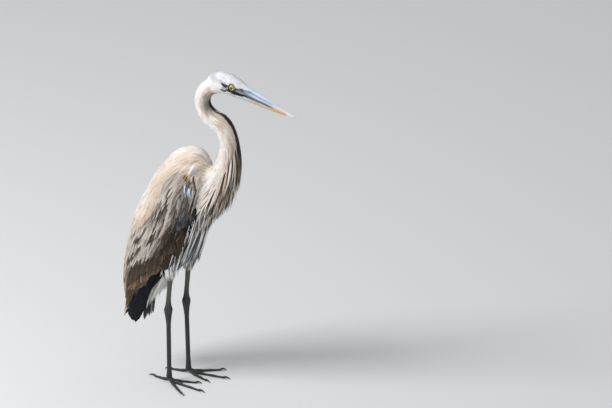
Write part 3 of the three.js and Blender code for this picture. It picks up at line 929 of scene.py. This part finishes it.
# The name of the coat that grows at each place.
def regionOf(points, wing):
    lie = lieAt(points)
    headAlong, headAbove, headOut = inHead(points)
    ahead, height = inBird(points)[:2]
    wobble = (ripple(points, 12, 31) - 0.5) * 14
    region = np.where(ahead + wobble < lineAt(height, "mantleEdge"), "mantle", "coverts").astype("<U10")
    front = (wing < 0.5) & (lie[3] < growth["front"])
    region[front] = "breast"
    region[front & (height > growth["shoulder"])] = "shoulder"
    region[(wing < 0.5) & (ahead < growth["underWing"][0]) & (height < growth["underWing"][1])] = "bare"
    neck = lie[1] == chainNames.index("neck")
    region[neck] = "neck"
    lowest, highest = growth["foreneck"]
    region[neck & (lie[3] < lineAt(height, "plumed")) & (height < highest) & (height > lowest)] = "foreneck"
    region[lie[1] > chainNames.index("head")] = "thigh"
    behind = lineAt(height, "wingFront") - ahead
    hidden = (behind > growth["thighFront"][0]) & (height > growth["thighFront"][1])
    region[(region == "thigh") & ((height < growth["shankTop"]) | hidden)] = "bare"
    deep, lowest, highest = growth["flank"]
    region[(region == "breast") & (behind > deep) & (height > lowest) & (height < highest)] = "bare"
    head = (lie[1] == chainNames.index("head")) & (headAlong > growth["headFrom"])
    faceFrom, browFrom, browAbove = growth["faceFrom"]
    region[head] = "crown"
    region[head & (headAlong > faceFrom)] = "face"
    region[head & (headAlong > browFrom) & (headAbove > browAbove)] = "crown"
    eyeHole = (np.hypot(headAlong, headAbove) < growth["eyeHole"]) & (np.abs(headOut) > 9)
    lore = (headAlong > 5) & (np.abs(headAbove + 1.5 - headAlong * 0.2) < 4.2) & (np.abs(headOut) > 4)
    underBill = (headAlong > growth["billFrom"]) & (np.abs(headAbove + 3) < 9)
    region[head & (eyeHole | lore | underBill)] = "bare"
    return region


triangleRegion = regionOf(triangleCentre, triangleWing)
downhill = -dot(lieAt(triangleCentre)[0], triangleNormal)[:, 0]
triangleRegion[downhill > growth["downhill"]] = "bare"
scattering = {"tries": 4, "cell": 0.8, "closest": 0.62}  # as many places as fit, and shares of the spacing


# Random places of one region of the skin, about `spacing` apart, with the triangle that each is on.
def scatter(spacing, region):
    weight = triangleArea * (triangleRegion == region)
    number = int(weight.sum() / (spacing * mm) ** 2 * scattering["tries"])
    chosen = chance.choice(len(weight), number, p=weight / weight.sum())
    a, b = chance.random((2, number, 1))
    over = a + b > 1
    a, b = np.where(over, 1 - a, a), np.where(over, 1 - b, b)
    places = cornerA[chosen] + a * (cornerB - cornerA)[chosen] + b * (cornerC - cornerA)[chosen]
    cells = np.floor(places / (spacing * scattering["cell"] * mm)).astype(int)
    first = np.unique(cells, axis=0, return_index=True)[1]
    places, chosen = places[first], chosen[first]
    tree = KDTree(len(places))
    for index, place in enumerate(places):
        tree.insert(place, index)
    tree.balance()
    taken = np.zeros(len(places), bool)
    dropped = np.zeros(len(places), bool)
    closest = spacing * scattering["closest"] * mm
    for index in chance.permutation(len(places)):
        if dropped[index]:
            continue
        taken[index] = True
        near = [other for place, other, away in tree.find_range(places[index], closest)]
        dropped[near] |= ~taken[near]
    return places[taken], chosen[taken]


# Spacing, length, width, thickness, lift at root and tip, and how far a feather may stand off, in mm.
usualCoat = {"template": "plume", "outline": "lance", "camber": 0.16, "splay": 0.06, "drop": 0, "sweep": 0}
coat = {
    "face": {"spacing": 2.1, "length": 6.0, "width": 1.9, "template": "small", "outline": "oval",
             "thick": 0.09, "lift": (-0.2, 0.3), "camber": 0.12, "splay": 0.08, "steps": 3, "shade": 0.03,
             "stray": 1},
    "crown": {"spacing": 2.7, "length": 13.0, "width": 2.3, "template": "small", "thick": 0.1,
              "lift": (-0.2, 0.4), "camber": 0.12, "splay": 0.04, "steps": 4, "shade": 0.02, "stray": 1},
    "neck": {"spacing": 3.9, "length": 26, "width": 3.3, "template": "small", "thick": 0.14,
             "lift": (-0.4, 0.7), "camber": 0.14, "splay": 0.04, "steps": 5, "shade": 0.07, "stray": 2},
    "foreneck": {"spacing": 6.6, "length": 88, "width": 4.8, "thick": 0.35, "lift": (-0.4, 2.5),
                 "camber": 0.25, "steps": 8, "drop": 0.5, "shade": 0.12, "stray": 60},
    "mantle": {"spacing": 6.0, "length": 56, "width": 5.4, "thick": 0.22, "lift": (-0.4, 1.0),
               "splay": 0.045, "steps": 7, "shade": 0.04, "stray": 3},
    "coverts": {"spacing": 6.6, "length": 44, "width": 6.6, "thick": 0.25, "lift": (-0.4, 1.6), "steps": 7,
                "shade": 0.2, "stray": 9},
    "shoulder": {"spacing": 4.6, "length": 26, "width": 4.2, "template": "small", "thick": 0.16,
                 "lift": (-0.4, 0.8), "camber": 0.14, "steps": 5, "shade": 0.05, "stray": 3},
    "breast": {"spacing": 6.9, "length": 106, "width": 6.0, "thick": 0.35, "lift": (-0.4, 3.0), "camber": 0.2,
               "splay": 0.03, "steps": 8, "drop": 0.3, "sweep": 0.62, "shade": 0.08, "stray": 60},
    "thigh": {"spacing": 4.8, "length": 42, "width": 4.2, "thick": 0.25, "lift": (-0.3, 1.2), "camber": 0.2,
              "splay": 0.04, "steps": 6, "drop": 0.12, "sweep": 0.4, "shade": 0.05, "stray": 12},
}


# Shares of a vane: where its rim starts and is full, how far its root stays plain, and its shaft.
vaneLook = {"rim": (0.62, 0.9), "root": (0.25, 0.5), "shaft": (0.02, 0.06), "shaftDark": 0.82,
            "barbDark": 0.05, "barbRaised": 0.35}


# Its own colour, paler or darker along the edge, with a shaft and slanting barbs.
def featherMaterial(name, roughness, barbs):
    material, shader = newMaterial(name, roughness)
    shader.inputs["Specular IOR Level"].default_value = 0.12
    tree = material.node_tree
    tint = addNode(tree, "Attribute", attribute_name="plumage").outputs
    rim = addNode(tree, "Attribute", attribute_name="edging").outputs
    vane = addNode(tree, "UVMap", uv_map="vane").outputs["UV"]
    place = addNode(tree, "SeparateXYZ", {0: vane}).outputs
    along = place["Y"]
    across = calculate(tree, "ABSOLUTE", calculate(tree, "SUBTRACT", place["X"], 0.5))
    fromTip = calculate(tree, "MAXIMUM", calculate(tree, "MULTIPLY", across, 2.0),
                        calculate(tree, "MULTIPLY", along, 0.97))
    edge = ranged(tree, fromTip, vaneLook["rim"], interpolation_type="SMOOTHSTEP")
    beyondRoot = ranged(tree, along, vaneLook["root"])
    share = calculate(tree, "MULTIPLY", calculate(tree, "MULTIPLY", edge, beyondRoot), rim["Alpha"])
    blend = addNode(tree, "Mix", {0: share, 6: tint["Color"], 7: rim["Color"]}, data_type="RGBA").outputs[2]
    shaft = ranged(tree, across, vaneLook["shaft"], vaneLook["shaftDark"])
    slant = calculate(tree, "SUBTRACT", calculate(tree, "MULTIPLY", along, barbs),
                      calculate(tree, "MULTIPLY", across, barbs * 0.5))
    wave = calculate(tree, "SINE", slant)
    barb = calculate(tree, "MULTIPLY_ADD", wave, vaneLook["barbDark"], 0.97)
    shade = addNode(tree, "VectorMath", {0: blend, "Scale": calculate(tree, "MULTIPLY", shaft, barb)},
                    operation="SCALE").outputs[0]
    paintShader(tree, shader, shade, wave, vaneLook["barbRaised"], 0.0002)
    return material


softFeather = featherMaterial("softFeather", roughness=0.8, barbs=160)
flightFeather = featherMaterial("flightFeather", roughness=0.5, barbs=420)


# One colour for all edges, with how much of it shows on each feather as a fourth value.
def rimmed(name, shares):
    return np.column_stack([np.tile(paint[name], (len(shares), 1)), shares])


def edgingFor(region, colours, points):
    count = len(colours)
    light = colours.mean(1)
    if region == "coverts":
        share = chance.random(count) * (1.5 * light + 0.15 * step(light, 0.01, 0.03))
        return rimmed("covertEdge", np.clip(share, 0, 0.9))
    if region == "mantle":
        return rimmed("mantlePale", chance.random(count) * (0.1 + 0.5 * step(points[:, 2] / mm, 300, 390)))
    if region == "breast":
        return rimmed("breastGrey", chance.random(count) * 0.5)
    if region == "foreneck":
        dark = light < 0.3
        rim = np.where(dark[:, None], paint["neckTan"], paint["umber"])
        return np.column_stack([rim, chance.random(count) * np.where(dark, 0.9, 0.5)])
    return np.column_stack([colours, np.zeros(count)])


plumeColours = {  # the streaked coats: each feather is one of these, as often as its share says
    "foreneck": {"white": 0.09, "cream": 0.13, "foreBrown": 0.18, "ink": 0.38, "neckTan": 0.07,
                 "umber": 0.15},
    "breast": {"white": 0.22, "breastWhite": 0.15, "breastGrey": 0.1, "slate": 0.27, "ink": 0.26},
    "thigh": {"white": 0.34, "breastWhite": 0.26, "slate": 0.27, "ink": 0.13},
}


def pickedPaint(region, count):
    shares = plumeColours[region]
    picked = chance.choice(len(shares), count, p=list(shares.values()))
    return np.array([paint[name] for name in shares])[picked]


def streaked(region, colours, points):
    height = points[:, 2] / mm
    plain = pickedPaint(region, len(colours))
    if region == "foreneck":
        low = step(-height, -505, -470) > chance.random(len(points))
        plain[low] = pickedPaint("breast", low.sum())
        front = (lieAt(points)[3] < 0.4) & (chance.random(len(points)) < 0.8 * step(height, 520, 600))
        plain[front] = paint["ink"]
    share = 0.9 * (step(-height, -500, -455) if region == "breast" else np.ones(len(points)))
    return mix(colours, plain, share)


lowestTip = {"breast": 294, "thigh": 270}


# Feathers are shorter in the notch behind the neck, and end above the bare legs.
def shorter(points, region):
    ahead, height = inBird(points)[:2]
    share = np.ones(len(points))
    if region == "mantle":
        share -= 0.55 * step(ahead, 30, 75) * step(height, 520, 560)
    if region == "foreneck":
        share -= 0.35 * step(-height, -560, -480)
    if region == "breast":
        share -= 0.4 * step(height, 440, 490)
    if region in lowestTip:
        share = np.minimum(share, np.maximum(height - lowestTip[region], 9) / 0.9 / coat[region]["length"])
    return share


# How much the feathers of one coat vary, and the lightest that one may be, so that white keeps its form.
variety = {"length": (0.8, 1.15), "width": (0.85, 1.15), "raised": 0.5, "lightest": 0.92}


def growCoat():
    for region, own in coat.items():
        values = {**usualCoat, **own}
        roots, triangles = scatter(values["spacing"], region)
        lengths = values["length"] * chance.uniform(*variety["length"], len(roots)) * shorter(roots, region)
        paths, ups, stray = trace(roots, triangleNormal[triangles], lengths, values)
        kept = stray < values["stray"]
        roots, triangles, paths, ups = (part[kept] for part in (roots, triangles, paths, ups))
        count = len(roots)
        paths += ups * (chance.random((count, 1, 1)) * variety["raised"] * mm)
        middle = paths[:, values["steps"] // 2]
        colours = plumageColour(middle, triangleWing[triangles])
        if region in plumeColours:
            colours = streaked(region, colours, middle)
        shade = values["shade"]
        colours = np.clip(colours * chance.uniform(1 - shade, 1 + shade, (count, 1)), 0, variety["lightest"])
        settings = {**values, "width": values["width"] * chance.uniform(*variety["width"], count)}
        layFeathers(region, paths, ups, settings, colours, edgingFor(region, colours, middle), unwrap(roots),
                    softFeather)


growCoat()

# Flight feathers of wing and tail.
# Roots and tips (ahead, above), how many, width, lift and how uneven, from the tail forwards.
usualVane = {"template": "flight", "outline": "blade", "thick": 0.5, "camber": 0.1, "slot": "grey_plumage",
             "shades": (0.8, 1.2), "rims": (0.2, 0.9), "farTips": (0, 0), "plainEdges": 0, "plainer": 0.2}
flight = {
    "primaries": {"roots": [(-84, 238), (-72, 252), (-56, 268), (-34, 286), (-10, 306), (16, 324)],
                  "tips": [(-120, 149), (-113, 138), (-103, 136), (-94, 138), (-86, 150), (-76, 182),
                           (-60, 216), (-44, 244), (-14, 284)],
                  "count": 22, "width": 16, "lift": 1.5, "uneven": 0.03, "colours": ["flight"],
                  "edge": "flightEdge", "slot": "dark_plumage", "farTips": (-12, 8),
                  "outline": "round"},
    "tertials": {"roots": [(-84, 262), (-74, 300), (-52, 316), (-34, 326), (4, 340)],
                 "tips": [(-133, 142), (-128, 196), (-104, 216), (-70, 242), (-38, 273), (-12, 296)],
                 "count": 30, "width": 9, "lift": 2.6, "uneven": 0.14, "edge": "tertialEdge", "plainEdges": 9,
                 "colours": ["tertial", "umber", "umber", "covertDark"]},
    "greater": {"roots": [(-82, 326), (-66, 352), (-46, 366), (-20, 372), (14, 380)],
                "tips": [(-128, 214), (-112, 232), (-88, 252), (-54, 274), (-4, 306)],
                "count": 44, "width": 7, "lift": 3.0, "uneven": 0.26, "edge": "tertial",
                "colours": ["covert", "loam", "umber", "covertDark", "loam", "umber"]},
    "flank": {"roots": [(-44, 352), (-22, 378), (2, 404), (26, 426), (48, 450)],
              "tips": [(-14, 287), (2, 299), (20, 322), (38, 346), (56, 390)], "count": 60, "width": 6.5,
              "lift": 2.4, "uneven": 0.1, "edge": "umber", "colours": ["loam", "umber"],
              "template": "plume", "outline": "round"},
}
usualPlume = {**usualVane, "template": "plume", "outline": "lance", "uneven": 0.1}
accents = {
    "carpal": {"roots": [(44, 530), (54, 506), (66, 500), (74, 494)],
               "tips": [(46, 484), (56, 446), (64, 424), (72, 448)], "count": 12, "width": 5.5, "lift": 2.0,
               "uneven": 0.2, "edge": "covert", "colours": ["slate", "covertDark", "slate", "covert"]},
    "wrist": {"roots": [(75, 492), (73, 476), (68, 452)], "tips": [(74, 454), (71, 434), (58, 396)],
              "count": 8, "width": 6, "lift": 2.4, "uneven": 0.2, "edge": "ink", "slot": "dark_plumage",
              "colours": ["ink"]},
    "shoulderDark": {"roots": [(70, 562), (71, 550), (74, 538)], "tips": [(65, 530), (69, 518), (72, 505)],
                     "count": 8, "width": 5.5, "lift": 3.6, "uneven": 0.2, "edge": "neckTan",
                     "colours": ["ink", "umber", "umber"]},
    "shoulderBlue": {"roots": [(55, 552), (62, 548), (70, 542)], "tips": [(53, 503), (61, 496), (68, 488)],
                     "count": 7, "width": 5, "lift": 3.6, "edge": "white",
                     "colours": ["blueWhite", "blueDark", "blueDark", "blueWhite", "blueWhite", "blueDark",
                                 "blueWhite"]},
    "shoulderGold": {"roots": [(52, 562), (61, 560)], "tips": [(47, 535), (56, 532)], "count": 4,
                     "width": 4.2, "lift": 3.2, "edge": "rust", "colours": ["rust", "gold"]},
    "shoulderGrey": {"roots": [(76, 578), (72, 574)], "tips": [(67, 546), (63, 544)], "count": 3,
                     "width": 4.6, "lift": 3.0, "edge": "occiput", "colours": ["occiput"]},
    "shoulderWhite": {"roots": [(71, 590), (68, 589)], "tips": [(57, 546), (55, 547)], "count": 2, "width": 5,
                      "lift": 4.4, "edge": "white", "colours": ["white"], "slot": "pale_plumage"},
    "breastWhite": {"roots": [(92, 478), (90, 474)], "tips": [(72, 450), (73, 454)], "count": 2,
                    "width": 4.2, "lift": 3.4, "edge": "white", "colours": ["white"],
                    "slot": "pale_plumage"},
}
# Rays start `from` the middle and reach inward; they count where the skin faces outward by `side` or more.
# A line keeps its place where the skin falls in by more than `fold`, and starts at `bare` without a hit.
draping = {"from": 150, "reach": 140, "side": 0.25, "fold": 9, "bare": 20, "rounds": 3, "steps": 12}


# Straight lines on the bird's side, laid on the skin from outside, and carried on past its edge.
def drape(roots, tips, sign):
    spread = np.linspace(0, 1, draping["steps"])[None, :, None]
    lines = roots[:, None] + (tips - roots)[:, None] * spread
    paths = np.empty((*lines.shape[:2], 3))
    ups = np.empty_like(paths)
    inward = Vector((-sign, 0, 0))
    for number, line in enumerate(lines):
        hits = []
        for ahead, above in line:
            start = Vector(at(ahead, above, sign * draping["from"]))
            place, normal = skinTree.ray_cast(start, inward, draping["reach"] * mm)[:2]
            good = place is not None and normal.x * sign > draping["side"]
            hits.append((abs(place.x) / mm, normal) if good else None)
        known = [hit for hit in hits if hit is not None]
        last = known[0] if known else (draping["bare"], -inward)
        for index, hit in enumerate(hits):
            if hit is not None and (index == 0 or hit[0] > last[0] - draping["fold"]):
                last = hit
            paths[number, index] = at(*line[index], sign * last[0])
            ups[number, index] = last[1]
    for rows in (paths, ups):
        for _ in range(draping["rounds"]):
            rows[:, 1:-1] = (rows[:, :-2] + 2 * rows[:, 1:-1] + rows[:, 2:]) / 4
    return paths, unit(ups)


layers = {"every": 7, "apart": 0.3, "rootSunk": -0.7}  # how neighbours lie over one another
fewest = 10  # a row of fewer feathers takes its colours in turn, not at random


def layFlight(name, values):
    count = values["count"]
    roots = curveThrough(values["roots"], count)
    tips = curveThrough(values["tips"], count)
    steps = draping["steps"]
    for side, sign in sides.items():
        shift = np.array(values["farTips"]) * (side == "left")
        paths, ups = drape(roots, tips + shift, sign)
        stack = values["lift"] + (np.arange(count)[::-1, None, None] % layers["every"]) * layers["apart"]
        paths += ups * (stack * np.linspace(layers["rootSunk"], 1, steps)[None, :, None]) * mm
        settings = {**values, "width": np.full(count, values["width"])}
        longer = chance.uniform(-values["uneven"], values["uneven"] * 0.4, (count, 1, 1))
        paths += (paths[:, -1:] - paths[:, :1]) * longer * np.linspace(0, 1, steps)[None, :, None]
        picked = np.arange(count) if count < fewest else chance.integers(len(values["colours"]), size=count)
        colours = np.array([paint[text] for text in values["colours"]])[picked % len(values["colours"])]
        colours = colours * chance.uniform(*values["shades"], (count, 1))
        edging = rimmed(values["edge"], chance.uniform(*values["rims"], count))
        edging[:values["plainEdges"], 3] *= values["plainer"]
        layFeathers(f"{name}_{side}", paths, ups, settings, colours, edging, unwrap(paths[:, 0]),
                    flightFeather)
        if name == "primaries":
            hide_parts(f"wing_{side}_primaries")


tailFan = {"count": 5, "width": 17, "pale": 3, "roots": [(-74, 238, 2), (-66, 236, 14)],
           "tips": [(-92, 128, 3), (-80, 137, 20)], "facing": (0.2, -1, -0.25), "steps": 9, "apart": 0.5,
           "uneven": (-0.06, 0.02), "shades": (0.75, 1.1), "rim": 0.12, "template": "flight",
           "outline": "round", "thick": 0.5, "camber": 0.15}
# Roots run from `start` on by `run` (ahead, above, out), and the plumes fall by `fall` (ahead, above).
undertail = {"count": 240, "length": (46, 80), "width": 8, "steps": 8, "start": (-8, 290, 31),
             "run": (-54, -52, -10), "fall": (0.42, -0.9), "splay": (0.08, 0.05), "lift": (-2, 5), "loose": 5,
             "shades": (0.8, 1.04), "rims": 0.25, "template": "plume", "outline": "lance", "thick": 0.4,
             "camber": 0.2}


def layTail(values):
    count, steps = values["count"], values["steps"]
    roots = curveThrough([at(*root) for root in values["roots"]], count)
    tips = curveThrough([at(*tip) for tip in values["tips"]], count)
    facing = unit(np.array(values["facing"]))
    spread = np.linspace(0, 1, steps)[None, :, None]
    longer = chance.uniform(*values["uneven"], (count, 1, 1))
    paths = roots[:, None] + (tips - roots)[:, None] * spread * (1 + longer)
    paths = paths + facing * (np.arange(count)[::-1, None, None] * values["apart"] * mm)
    paths = np.concatenate([paths, paths * (-1, 1, 1)])
    ups = np.tile(facing, (2 * count, steps, 1))
    ups[count:] *= (-1, 1, 1)
    settings = {**values, "width": np.full(2 * count, values["width"])}
    colours = paint["tail"] * chance.uniform(*values["shades"], (2 * count, 1))
    colours[[values["pale"], count + values["pale"]]] = paint["tailEdge"]
    edging = rimmed("tailEdge", np.full(2 * count, values["rim"]))
    layFeathers("tailFan", paths, ups, settings, colours, edging, unwrap(paths[:, 0]), flightFeather)
    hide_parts("tail")


def layUndertail(values):
    count, steps = values["count"], values["steps"]
    share = chance.random(count)
    side = chance.uniform(-1, 1, count)
    ahead, above, out = (start + run * share for start, run in zip(values["start"], values["run"]))
    out *= side
    roots = np.array([at(*root) for root in zip(ahead, above, out)])
    outward, aft = (chance.normal(0, splay, count) for splay in values["splay"])
    heading = unit(np.column_stack([outward, values["fall"][0] + aft, np.full(count, values["fall"][1])]))
    lengths = chance.uniform(*values["length"], count)[:, None, None] * mm
    paths = roots[:, None] + heading[:, None] * lengths * np.linspace(0, 1, steps)[None, :, None]
    ups = unit(np.column_stack([out * 0.03, np.full(count, -0.9), np.full(count, -0.4)]))[:, None] + paths * 0
    rise = np.linspace(*values["lift"], steps)[None, :, None]
    paths += ups * (rise + chance.uniform(0, values["loose"], (count, 1, 1))) * mm
    colours = paint["undertail"] * chance.uniform(*values["shades"], (count, 1))
    edging = rimmed("breastGrey", chance.random(count) * values["rims"])
    settings = {**values, "width": np.full(count, values["width"])}
    layFeathers("undertail", paths, unit(ups), settings, colours, edging, unwrap(roots), softFeather)


layTail(tailFan)
layUndertail(undertail)
for table, usual in ((flight, usualVane), (accents, usualPlume)):
    for name, values in table.items():
        layFlight(name, {**usual, **values})
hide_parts("foreneck_plumes")

# The bill: each half is a tube shaped by stations (along, top, bottom, half-width).
bill = {
    "rings": 60, "around": 40, "crowding": 1.15,
    "upper": [(14, 14.2, -11.3, 12.2), (30, 13.2, -9.6, 10.6), (46, 11.8, -8.0, 9.4), (80, 9.8, -5.9, 7.2),
              (110, 6.9, -5.2, 5.4), (134, 4.4, -3.6, 3.8), (152, 2.9, -1.3, 2.5), (166, 1.7, -0.4, 1.0)],
    "lower": [(14, -11.6, -24.6, 11.8), (30, -9.9, -23.2, 10.2), (46, -8.3, -21.2, 8.9),
              (80, -6.2, -17.2, 6.8), (110, -5.5, -13.6, 5.0), (134, -3.9, -9.6, 3.4), (150, -1.9, -5.6, 2.3),
              (164, -0.8, -2.4, 0.9)],
    "groove": 0.8, "grooveAt": 0.68, "grooveWide": 0.08,
    "nostril": 1.3, "nostrilAt": 45, "nostrilLong": 5.5, "nostrilWide": 0.12,
    "lowerGroove": 0.5, "lowerGrooveAt": 0.45, "lowerGrooveWide": 0.12,
}


# A tube along Z from 0 to 1, of radius 1, with rings to shape.
def makeTube(rings, around):
    bm = bmesh.new()
    bmesh.ops.create_cone(bm, cap_ends=True, segments=around, radius1=1, radius2=1, depth=1)
    bmesh.ops.translate(bm, verts=bm.verts, vec=(0, 0, 0.5))
    long = [edge for edge in bm.edges if abs(edge.verts[0].co.z - edge.verts[1].co.z) > 0.5]
    bmesh.ops.subdivide_edges(bm, edges=long, cuts=rings - 1, use_grid_fill=True)
    return bm


def addBill(part):
    stations = np.array(bill[part], float)
    bm = makeTube(bill["rings"], bill["around"])
    for vert in bm.verts:
        share = vert.co.z ** bill["crowding"]
        along = stations[0, 0] + (stations[-1, 0] - stations[0, 0]) * share
        high, low, wide = (np.interp(along, stations[:, 0], stations[:, k]) for k in (1, 2, 3))
        angle = math.atan2(vert.co.y, vert.co.x)
        across, rise = math.cos(angle), math.sin(angle)
        if part == "upper":
            above = low + (high - low) * rise ** 1.05 if rise > 0 else low - 0.25 * -rise
            level = (above - low) / (high - low)
            out = wide * (abs(across) ** 0.8 if rise > 0 else abs(across)) * math.copysign(1, across)
            fade = step(along, 30, 42) * step(-along, -128, -100)
            dent = bill["groove"] * fade * math.exp(-((level - bill["grooveAt"]) / bill["grooveWide"]) ** 2)
            slit = math.exp(-((level - bill["grooveAt"]) / bill["nostrilWide"]) ** 2
                            - ((along - bill["nostrilAt"]) / bill["nostrilLong"]) ** 2)
            out -= math.copysign(min(dent + bill["nostril"] * slit, abs(out) * 0.6), out)
        else:
            above = high - (high - low) * (-rise) ** 1.1 if rise < 0 else high + 0.25 * rise
            out = wide * (abs(across) ** 0.85 if rise < 0 else abs(across)) * math.copysign(1, across)
            level = (above - low) / (high - low)
            fade = step(along, 40, 60) * step(-along, -135, -115)
            dent = math.exp(-((level - bill["lowerGrooveAt"]) / bill["lowerGrooveWide"]) ** 2)
            dent *= bill["lowerGroove"] * fade
            out -= math.copysign(min(dent, abs(out) * 0.5), out)
        vert.co = onHead(along, above, out)
    bmesh.ops.recalc_face_normals(bm, faces=bm.faces)
    piece = addObject(f"bill_{part}_horn", bm)
    setColour(piece.data, "plumage", billColour(meshArrays(piece.data)[0], part))
    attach(piece, "root")
    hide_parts(f"bill_{part}")
    return piece


paint.update(paints({
    "pale": "ccdbec", "ridge": "bccada", "groove": "5d6978", "dusk": "4a3f3a", "lilac": "cdc9cf",
    "tip": "dcddd6", "beige": "c2b4a2", "chin": "b9c4cf", "yellow": "cdb268", "orange": "d0a24c",
    "claw": "2b2823"}))


def billColour(points, part):
    along, above, out = inHead(points)
    if part == "lower":
        return layered(
            paint["beige"],
            ("chin", step(-along, -60, -35)),
            ("yellow", step(along, 85, 108)),
            ("orange", step(along, 104, 122)),
            ("dusk", 0.8 * step(above, -9, -6.5) * step(-along, -85, -60)),
            ("tip", step(along, 140, 152)))
    streak = ripple(points @ np.column_stack([(1, 0, 0), headForward, headUp]), (2.5, 40, 2.0), 41) - 0.5
    station, top, bottom = np.array(bill["upper"], float).T[:3]
    level = (above - np.interp(along, station, bottom)) / np.interp(along, station, top - bottom)
    groove = np.exp(-((level - bill["grooveAt"]) / 0.1) ** 2) * step(along, 32, 40) * step(-along, -125, -100)
    lowOrange = step(along, 108, 122) * step(-level + streak * 0.2, -0.5, -0.3) * step(-along, -150, -138)
    colour = layered(
        paint["pale"],
        ("ridge", np.clip(0.3 + streak, 0, 1)),
        # Darker along the nasal groove, which is also dented in: painted shade in the groove.
        ("groove", 0.8 * groove),
        ("dusk", 0.9 * step(-level + streak * 0.1, -0.44, -0.3) * step(-along, -130, -112)),
        ("lilac", 0.7 * step(along, 95, 120)),
        ("orange", 0.8 * lowOrange),
        ("tip", step(along, 138, 152)))
    return loreColour(colour, along, above, out, streak * 3)


def hornMaterial(name, roughness):
    material, shader = newMaterial(name, roughness)
    tree = material.node_tree
    place = addNode(tree, "TexCoord").outputs["Object"]
    grain = addNode(tree, "TexNoise", {"Vector": place, "Scale": 260, "Detail": 3})
    tint = addNode(tree, "Attribute", attribute_name="plumage")
    paintShader(tree, shader, tint.outputs["Color"], grain.outputs["Fac"], 0.25, 0.0004)
    return material


horn = hornMaterial("horn", roughness=0.32)
for part in ("upper", "lower"):
    addBill(part).data.materials.append(horn)
print("bill made")

# Eyes, each a glossy ball in its socket, and claws.
eye = {"radius": 9.0, "out": 11.8, "scale": 0.01,  # the rings are shares of this scale, in metres
       "rings": [(0, "030304"), (0.31, "030304"), (0.34, "8c8230"), (0.4, "bdb641"), (0.56, "b3a93c"),
                 (0.62, "6a643a"), (0.66, "3a3a30"), (0.7, "8d8b78")]}


def eyeMaterial(name, centre):
    material, shader = newMaterial(name, 0.08)
    shader.inputs["Coat Weight"].default_value = 1
    shader.inputs["Coat Roughness"].default_value = 0.02
    tree = material.node_tree
    place = addNode(tree, "TexCoord").outputs["Object"]
    offset = addNode(tree, "VectorMath", {0: place, 1: (0, *centre[1:])}, operation="SUBTRACT")
    flat = addNode(tree, "VectorMath", {0: offset.outputs[0], 1: (0, 1 / eye["scale"], 1 / eye["scale"])},
                   operation="MULTIPLY")
    reach = addNode(tree, "VectorMath", {0: flat.outputs[0]}, operation="LENGTH")
    ramp = addNode(tree, "ValToRGB", {"Fac": reach.outputs["Value"]})
    while len(ramp.color_ramp.elements) < len(eye["rings"]):
        ramp.color_ramp.elements.new(0.5)
    for element, (position, text) in zip(ramp.color_ramp.elements, eye["rings"]):
        element.position = position
        element.color = (*hexColour(text), 1)
    tree.links.new(ramp.outputs["Color"], shader.inputs["Base Color"])
    return material


eyePaint = eyeMaterial("eyePaint", headAt)
for side, sign in sides.items():
    bm = bmesh.new()
    bmesh.ops.create_uvsphere(bm, u_segments=48, v_segments=32, radius=eye["radius"] * mm)
    bmesh.ops.translate(bm, verts=bm.verts, vec=onHead(0, 0, sign * eye["out"]))
    ball = addObject(f"eyeball_{side}", bm)
    ball.data.materials.append(eyePaint)
    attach(ball, "root")
    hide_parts(f"eye_{side}")

clawNodes = [f"claw_{side}_{toe}" for side in sides for toe in toes]
clawSize = 1.25  # grown from its tip, so that its root sits in the toe
bm = bmesh.new()
for node in clawNodes:
    first = len(bm.verts)
    bm.from_mesh(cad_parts[node].data)
    verts = bm.verts[first:]
    ahead, height, out = inBird(np.array([vert.co for vert in verts]))
    tip = verts[int(np.argmax(np.hypot(ahead, np.abs(out) - footOut)))].co.copy()
    bmesh.ops.scale(bm, verts=verts, vec=(clawSize,) * 3, space=Matrix.Translation(-tip))
bmesh.ops.remove_doubles(bm, verts=bm.verts, dist=1e-6)
claws = addObject("claws", bm)
rounding = claws.modifiers.new("rounding", "SUBSURF")
rounding.levels = rounding.render_levels = 2
setColour(claws.data, "plumage", np.tile(paint["claw"], (len(claws.data.vertices), 1)))
claws.data.materials.append(horn)
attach(claws, "root")
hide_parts(*clawNodes)
print("eyes and claws made")
